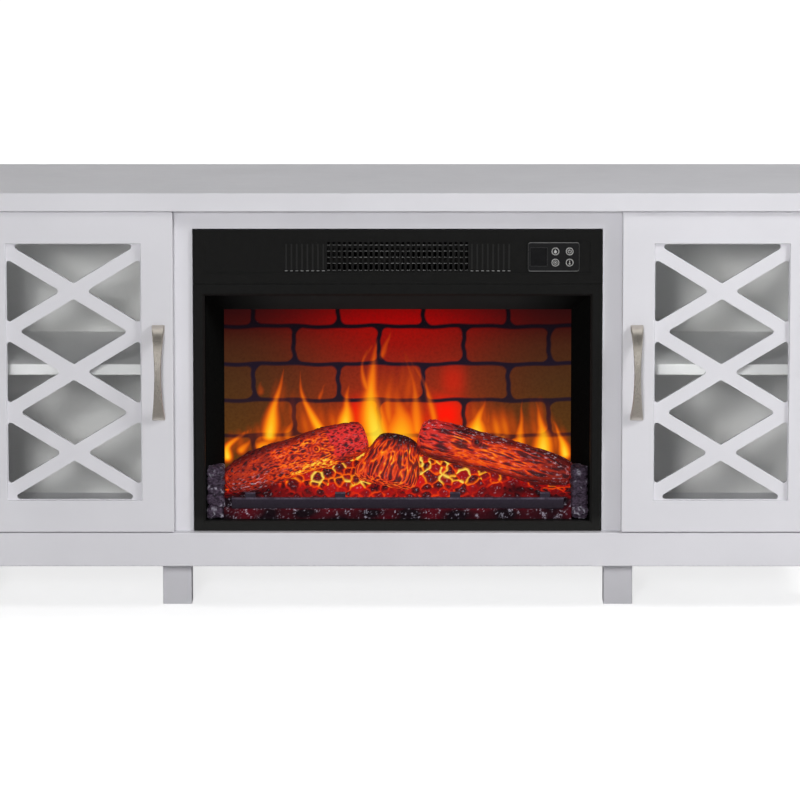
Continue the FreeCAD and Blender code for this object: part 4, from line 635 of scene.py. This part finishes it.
# Painted highlight: a grey line along the top edges of the bar and the prongs, broken up by noise.
painted_light_mask = sum_of(tree, level(tree, up, 0, 1, bar_top - 0.0026, bar_top - 0.0016),
                level(tree, up, 1, 0, bar_top, bar_top + 0.0012))
painted_light_mask = sum_of(tree, painted_light_mask, level(tree, up, 0, 1, bar_high.z - 0.0022, bar_high.z - 0.0012), "ADD")
painted_light_mask = sum_of(tree, painted_light_mask, level(tree, grain(tree, 120, 3), 0.2, 1.0, 0.35, 0.65))
tree.links.new(blend_of(tree, painted_light_mask, iron, tint(92, 82, 98)), shader.inputs["Base Color"])
bm = bmesh.new()
bmesh.ops.create_cube(bm, size=1)
bar_long, bar_deep, _ = bar_high - bar_low
bmesh.ops.transform(bm, matrix=Matrix.Translation((0, (bar_low.y + bar_high.y) / 2, bar_low.z + bar_height / 2))
                    @ Matrix.Diagonal((bar_long, bar_deep, bar_height, 1)), verts=bm.verts)
prong_places, half_prong = (-0.213, -0.083, 0.083, 0.213), 0.0075
for middle in prong_places:
    for cut_x in (middle - half_prong, middle + half_prong):
        bmesh.ops.bisect_plane(bm, geom=bm.verts[:] + bm.edges[:] + bm.faces[:], plane_co=(cut_x, 0, 0),
                               plane_no=(1, 0, 0))
prongs = [face for face in bm.faces if face.normal.z > 0.9
          and min(abs(face.calc_center_median().x - middle) for middle in prong_places) < 0.002]
for face in prongs:
    raised = bmesh.ops.extrude_discrete_faces(bm, faces=[face])["faces"]
    bmesh.ops.translate(bm, verts=raised[0].verts, vec=(0, 0, bar_high.z - bar_top))
bmesh.ops.recalc_face_normals(bm, faces=bm.faces)
sharp = [edge for edge in bm.edges if len(edge.link_faces) == 2 and edge.calc_face_angle() > 0.5]
bmesh.ops.bevel(bm, geom=sharp, offset=0.0009, offset_type="OFFSET", affect="EDGES", segments=2, profile=0.5,
                material=-1)
grate = new_piece("grate_bar_cast", bm, "cabinet", grate_iron)
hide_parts("grate_bar")

# Control plate: a satin black moulding clipped in the fascia, with a fine raised bead round its edge and a
# second round the smoked display window.
control_black = mottled("control_black", [(19, 19, 20), (26, 26, 27)], (700, 2), (0.32, 0.42), (300,),
                        Specular_IOR_Level=0.2)
dress(["control_panel", *[f"{use}_button" for use in ("flame", "power", "timer", "heat")]], control_black)
smoke = mottled("smoke", [(7, 7, 8), (11, 11, 13)], (200, 2), (0.08, 0.16), (90,), Specular_IOR_Level=0.15)
dress(["display_window"], smoke)
bead_grey, tree, shader = finish_of("bead_grey", Specular_IOR_Level=0.5)
plate_low, plate_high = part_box("control_panel")
plate_middle = (plate_low.z + plate_high.z) / 2
# The bead is pale on its top and bottom runs as a painted highlight, and dark at its sides.
off_middle = sum_of(tree, sum_of(tree, axis_of(tree, "Z"), plate_middle, "SUBTRACT"), 0.0, "ABSOLUTE")
worn = sum_of(tree, level(tree, off_middle, 0.12, 1.0, 0.0185, 0.0202), level(tree, grain(tree, 500, 2), 0.8, 1.0))
tree.links.new(ramp(tree, worn, [(0.0, tint(20, 20, 20)), (1.0, tint(106, 106, 106))]), shader.inputs["Base Color"])
tree.links.new(level(tree, grain(tree, 300), 0.25, 0.4, 0.3, 0.7), shader.inputs["Roughness"])


def draw_out(bm, thick):
    """Gives a flat outline its thickness."""
    drawn = bmesh.ops.extrude_face_region(bm, geom=bm.faces[:])["geom"]
    bmesh.ops.translate(bm, verts=points_in(drawn), vec=thick)


def bead(name, low, high, round_off, wide, proud, face_y):
    """Raised line round a plate: a rounded outline, inset, its middle removed and the line drawn out."""
    bm = bmesh.new()
    bmesh.ops.create_grid(bm, x_segments=1, y_segments=1, size=0.5)
    stand_up(bm, low, high, face_y)
    bmesh.ops.bevel(bm, geom=bm.verts[:], offset=round_off, offset_type="OFFSET", affect="VERTICES", segments=5,
                    profile=0.5, material=-1)
    middle = bm.faces[:]
    bmesh.ops.inset_region(bm, faces=middle, thickness=wide, use_even_offset=True, use_boundary=True)
    bmesh.ops.delete(bm, geom=middle, context="FACES")
    draw_out(bm, (0, -proud, 0))
    new_piece(name, bm, "cabinet", bead_grey)


bead("control_plate_bead", plate_low, plate_high, 0.004, 0.0011, 0.0003, plate_low.y)
display_low, display_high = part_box("display_window")
around = Vector((0.0012, 0, 0.0012))
bead("display_bead", display_low - around, display_high + around, 0.0015, 0.0005, 0.0002, plate_low.y)

# Button marks: pale grey rings and plain signs printed on the four push buttons, a flame, a power sign,
# a dial and a thermometer. The ink stands up a little from the cap.
mark_ink = mottled("mark_ink", [(168, 168, 166), (196, 196, 194)], (900, 2), (0.4, 0.55), (600,),
                   Specular_IOR_Level=0.3)
ink_thick = 0.00012


def ring(bm, radius, wide, gap=None):
    """Flat ring about the origin, with the faces near its top left out where the sign has a gap."""
    made = bmesh.ops.create_circle(bm, cap_ends=True, segments=40, radius=radius)["verts"]
    middle = [face for face in bm.faces if all(vertex in made for vertex in face.verts)]
    bmesh.ops.inset_region(bm, faces=middle, thickness=wide, use_even_offset=True, use_boundary=True)
    gone = list(middle)
    if gap:
        for face in bm.faces:
            centre = face.calc_center_median()
            if face not in middle and centre.y > 0 and abs(centre.x) < gap and centre.length > radius - 1.5 * wide:
                gone.append(face)
    bmesh.ops.delete(bm, geom=gone, context="FACES")


def bar(bm, wide, low, high):
    made = bmesh.ops.create_grid(bm, x_segments=1, y_segments=1, size=0.5)["verts"]
    bmesh.ops.scale(bm, vec=(wide, high - low, 1), verts=made)
    bmesh.ops.translate(bm, verts=made, vec=(0, (low + high) / 2, 0))


def dot(bm, radius, rise=0.0, point=1.0):
    """Flat disc, drawn to a point at its top where the sign is a flame or a drop."""
    made = bmesh.ops.create_circle(bm, cap_ends=True, segments=24, radius=radius)["verts"]
    for vertex in made:
        if vertex.co.y > 0 and point > 1:
            vertex.co.x *= 1 - 0.9 * (vertex.co.y / radius) ** 1.5
            vertex.co.y *= point
    bmesh.ops.translate(bm, verts=made, vec=(0, rise, 0))


def flame_sign(bm):
    dot(bm, 0.0020, -0.0008, 1.9)


def power_sign(bm):
    ring(bm, 0.0028, 0.0008, 0.0014)
    bar(bm, 0.0009, 0.0004, 0.0032)


def timer_sign(bm):
    ring(bm, 0.0030, 0.0007)
    dot(bm, 0.0011)


def heat_sign(bm):
    dot(bm, 0.0013, -0.0018)
    bar(bm, 0.0012, -0.0014, 0.0030)


def print_mark(name, draw, use, face_y):
    """Draws a sign flat, gives the ink its thickness, and stands it on the face of a button."""
    bm = bmesh.new()
    draw(bm)
    draw_out(bm, (0, 0, ink_thick))
    low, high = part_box(f"{use}_button")
    bmesh.ops.transform(bm, matrix=Matrix.Translation(((low.x + high.x) / 2, face_y, (low.z + high.z) / 2))
                        @ Matrix.Rotation(math.radians(90), 4, "X"), verts=bm.verts)
    new_piece(name, bm, f"{use}_button", mark_ink)


for use, sign in (("flame", flame_sign), ("power", power_sign), ("timer", timer_sign), ("heat", heat_sign)):
    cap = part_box(f"{use}_button")[0].y
    print_mark(f"{use}_button_ring", lambda bm: ring(bm, 0.0054, 0.0009), use, cap)
    print_mark(f"{use}_button_sign", sign, use, cap + 0.0004)


# Louvre lips and ribs: in each blind slot of the fascia, left and right of the open ones, a short lip is pressed
# out at the foot and a low rib above it. The lip is painted pale grey as a painted highlight.
# Pale grey: a painted highlight on the lips, and the dull plating of the guard wires.
lip_highlight_and_wire_steel = mottled("lip_highlight_and_wire_steel", [(120, 120, 120), (160, 160, 160)], (600, 2), (0.3, 0.45), (400,),
                    Specular_IOR_Level=0.5)
rib_steel = mottled("rib_steel", [(31, 31, 31), (40, 40, 39)], (900, 3), (0.4, 0.55), (200,), Specular_IOR_Level=0.2)
fascia_low, fascia_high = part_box("control_fascia")
slot_foot = (fascia_low.z + fascia_high.z) / 2 - 0.021
slot_pitch, slot_depth, blind_slots = 0.0076, 0.0018, range(14, 22)


def press_out(name, size, rise, material):
    """One small bar with softened edges in every blind slot."""
    bm = bmesh.new()
    for step in blind_slots:
        for sign in (-1, 1):
            made = bmesh.ops.create_cube(bm, size=1)["verts"]
            bmesh.ops.scale(bm, vec=size, verts=made)
            edges = list({edge for vertex in made for edge in vertex.link_edges})
            made = bmesh.ops.bevel(bm, geom=edges, offset=0.0003, offset_type="OFFSET", affect="EDGES", segments=1,
                                   profile=0.5, material=-1)["verts"]
            bmesh.ops.translate(bm, verts=made,
                                vec=(sign * step * slot_pitch, fascia_low.y + slot_depth, slot_foot + rise))
    new_piece(name, bm, "cabinet", material)


rib_tall = 0.037
press_out("louvre_lips", (0.004, 0.0012, 0.0011), 0.0006, lip_highlight_and_wire_steel)
press_out("louvre_ribs", (0.0026, 0.0010, rib_tall), 0.0025 + rib_tall / 2, rib_steel)


# Finger guard: five thin steel wires spot-welded to two uprights, clipped behind the open slots of the fascia.
# The plating is dull, and each wire shows through the slots as a row of short glints.
def guard_wire(bm, length):
    return bmesh.ops.create_cone(bm, cap_ends=True, segments=8, radius1=wire, radius2=wire, depth=length)["verts"]


guard_half, guard_deep, wire = 0.104, fascia_low.y + 0.0034, 0.0005
bm = bmesh.new()
for rise in (0.0012, 0.0112, 0.0200, 0.0288, 0.0376):
    made = guard_wire(bm, 2 * guard_half)
    bmesh.ops.rotate(bm, verts=made, matrix=Matrix.Rotation(math.radians(90), 3, "Y"))
    bmesh.ops.translate(bm, verts=made, vec=(0, guard_deep, slot_foot + rise))
for sign in (-1, 1):
    made = guard_wire(bm, 0.040)
    bmesh.ops.translate(bm, verts=made,
                        vec=(sign * (guard_half - 0.002), guard_deep + 1.6 * wire, slot_foot + 0.0195))
new_piece("finger_guard", bm, "cabinet", lip_highlight_and_wire_steel, smooth=True)

# Door glass: a clear float pane behind each lattice, held by beads. It is all but invisible from the front,
# and green at its edges.
door_glass, tree, shader = finish_of("door_glass", Transmission_Weight=1.0, IOR=1.3)
tree.links.new(ramp(tree, grain(tree, 3, 1), [(0.3, tint(250, 252, 251)), (0.7, tint(253, 254, 254))]),
               shader.inputs["Base Color"])
tree.links.new(level(tree, grain(tree, 5, 2), 0.0, 0.02, 0.3, 0.7), shader.inputs["Roughness"])
clear = add(tree, "ShaderNodeBsdfTransparent", {"Color": (1, 1, 1, 1)})
rays = add(tree, "ShaderNodeLightPath").outputs
through = sum_of(tree, rays["Is Shadow Ray"], rays["Is Diffuse Ray"], "MAXIMUM")
pane = add(tree, "ShaderNodeMixShader", {0: through, 1: shader.outputs[0], 2: clear.outputs[0]})
tree.links.new(pane.outputs[0], tree.nodes["Material Output"].inputs["Surface"])
dress(["left_door_glass", "right_door_glass"], door_glass)

# Bow pulls: cast zinc arms plated with warm nickel and brushed along their length, screwed on from the back
# of the door. The brush lines break up the reflections.
nickel = mottled("nickel", [(196, 188, 177), (222, 215, 205)], (1500, 3, (1, 1, 0.03)), (0.22, 0.4),
                 (1800, 2, (1, 1, 0.02)), ((2200, 2, (1, 1, 0.02)), 0.12, 0.0002), Metallic=1.0, Anisotropic=0.5)
dress(["left_handle", "right_handle"], nickel)

# Stage: a plain white floor and soft studio light. The key lamp is high on the front right, the fill far in front,
# and weaker lamps hang overhead and behind. The camera looks down a little on the front, as in the photograph.
bpy.context.scene.view_settings.view_transform = "Standard"
bm = bmesh.new()
bmesh.ops.create_grid(bm, x_segments=1, y_segments=1, size=30)
bmesh.ops.translate(bm, verts=bm.verts, vec=(0, 0, -0.0004))
floor_mesh = bpy.data.meshes.new("floor")
bm.to_mesh(floor_mesh)
bm.free()
floor = bpy.data.objects.new("floor", floor_mesh)
bpy.context.scene.collection.objects.link(floor)
floor_paint = bpy.data.materials.new("floor_paint")
floor_paint.use_nodes = True
tree = floor_paint.node_tree
tree.nodes.remove(tree.nodes["Principled BSDF"])


def seen(tree):
    """1 for rays that show the background: from the camera or through glass."""
    rays = add(tree, "ShaderNodeLightPath").outputs
    return sum_of(tree, rays["Is Camera Ray"], rays["Is Transmission Ray"], "MAXIMUM")


matt = add(tree, "ShaderNodeBsdfDiffuse", {"Color": (0.6, 0.6, 0.605, 1)})
spot = add(tree, "ShaderNodeTexCoord").outputs["Object"]
reach = add(tree, "ShaderNodeVectorMath", {0: spot}, operation="LENGTH").outputs["Value"]
white_out = sum_of(tree, seen(tree), level(tree, reach, 0.72, 1.0, 0.9, 2.2))
lift = add(tree, "ShaderNodeEmission", {"Color": (1, 1, 1, 1), "Strength": white_out})
both = add(tree, "ShaderNodeAddShader", {0: matt.outputs[0], 1: lift.outputs[0]})
tree.links.new(both.outputs[0], tree.nodes["Material Output"].inputs["Surface"])
floor_mesh.materials.append(floor_paint)

world = bpy.data.worlds.new("studio")
bpy.context.scene.world = world
world.use_nodes = True
tree = world.node_tree
tree.nodes.remove(tree.nodes["Background"])
ambient = add(tree, "ShaderNodeBackground", {"Color": (0.99, 1, 1, 1), "Strength": 0.155})
room = ramp(tree, axis_of(tree, "Z", "Generated"), [(0.0, 0.78), (0.3, 0.72), (0.45, 0.2), (0.8, 0.2), (0.93, 1.0)])
mirrored = add(tree, "ShaderNodeBackground", {"Color": room})
backdrop = add(tree, "ShaderNodeBackground", {"Color": (1, 1, 1, 1)})
gloss = add(tree, "ShaderNodeLightPath").outputs["Is Glossy Ray"]
air = add(tree, "ShaderNodeMixShader", {0: gloss, 1: ambient.outputs[0], 2: mirrored.outputs[0]})
air = add(tree, "ShaderNodeMixShader", {0: seen(tree), 1: air.outputs[0], 2: backdrop.outputs[0]})
tree.links.new(air.outputs[0], tree.nodes["World Output"].inputs["Surface"])


def studio_lamp(name, spot, target, size, power):
    lamp = bpy.data.lights.new(name, "AREA")
    lamp.shape = "DISK"
    lamp.size = size
    lamp.energy = power
    piece = bpy.data.objects.new(name, lamp)
    piece.location = spot
    piece.rotation_euler = (Vector(target) - Vector(spot)).to_track_quat("-Z", "Y").to_euler()
    piece.visible_camera = False
    piece.visible_glossy = False
    bpy.context.scene.collection.objects.link(piece)


studio_lamp("key", (2.28, -1.67, 1.92), (0.1, -0.15, 0.32), 0.9, 40)
studio_lamp("fill", (-0.73, -6.0, 1.6), (0.0, 0.0, 0.35), 0.8, 149)
studio_lamp("overhead", (-0.55, 0.35, 2.9), (-0.1, 0.1, 0.6), 1.5, 7.5)
studio_lamp("rear", (-0.9, 4.6, 1.2), (0.0, 0.2, 0.3), 1.4, 40)

camera = bpy.data.cameras.new("camera")
camera.lens = 200
camera.sensor_width = 36
camera.shift_y = -0.2
viewpoint = bpy.data.objects.new("camera", camera)
viewpoint.location = (0.0034, -6.4771, 1.3111)
viewpoint.rotation_euler = (math.radians(90 - 6.948), 0, 0)
bpy.context.scene.collection.objects.link(viewpoint)
bpy.context.scene.camera = viewpoint
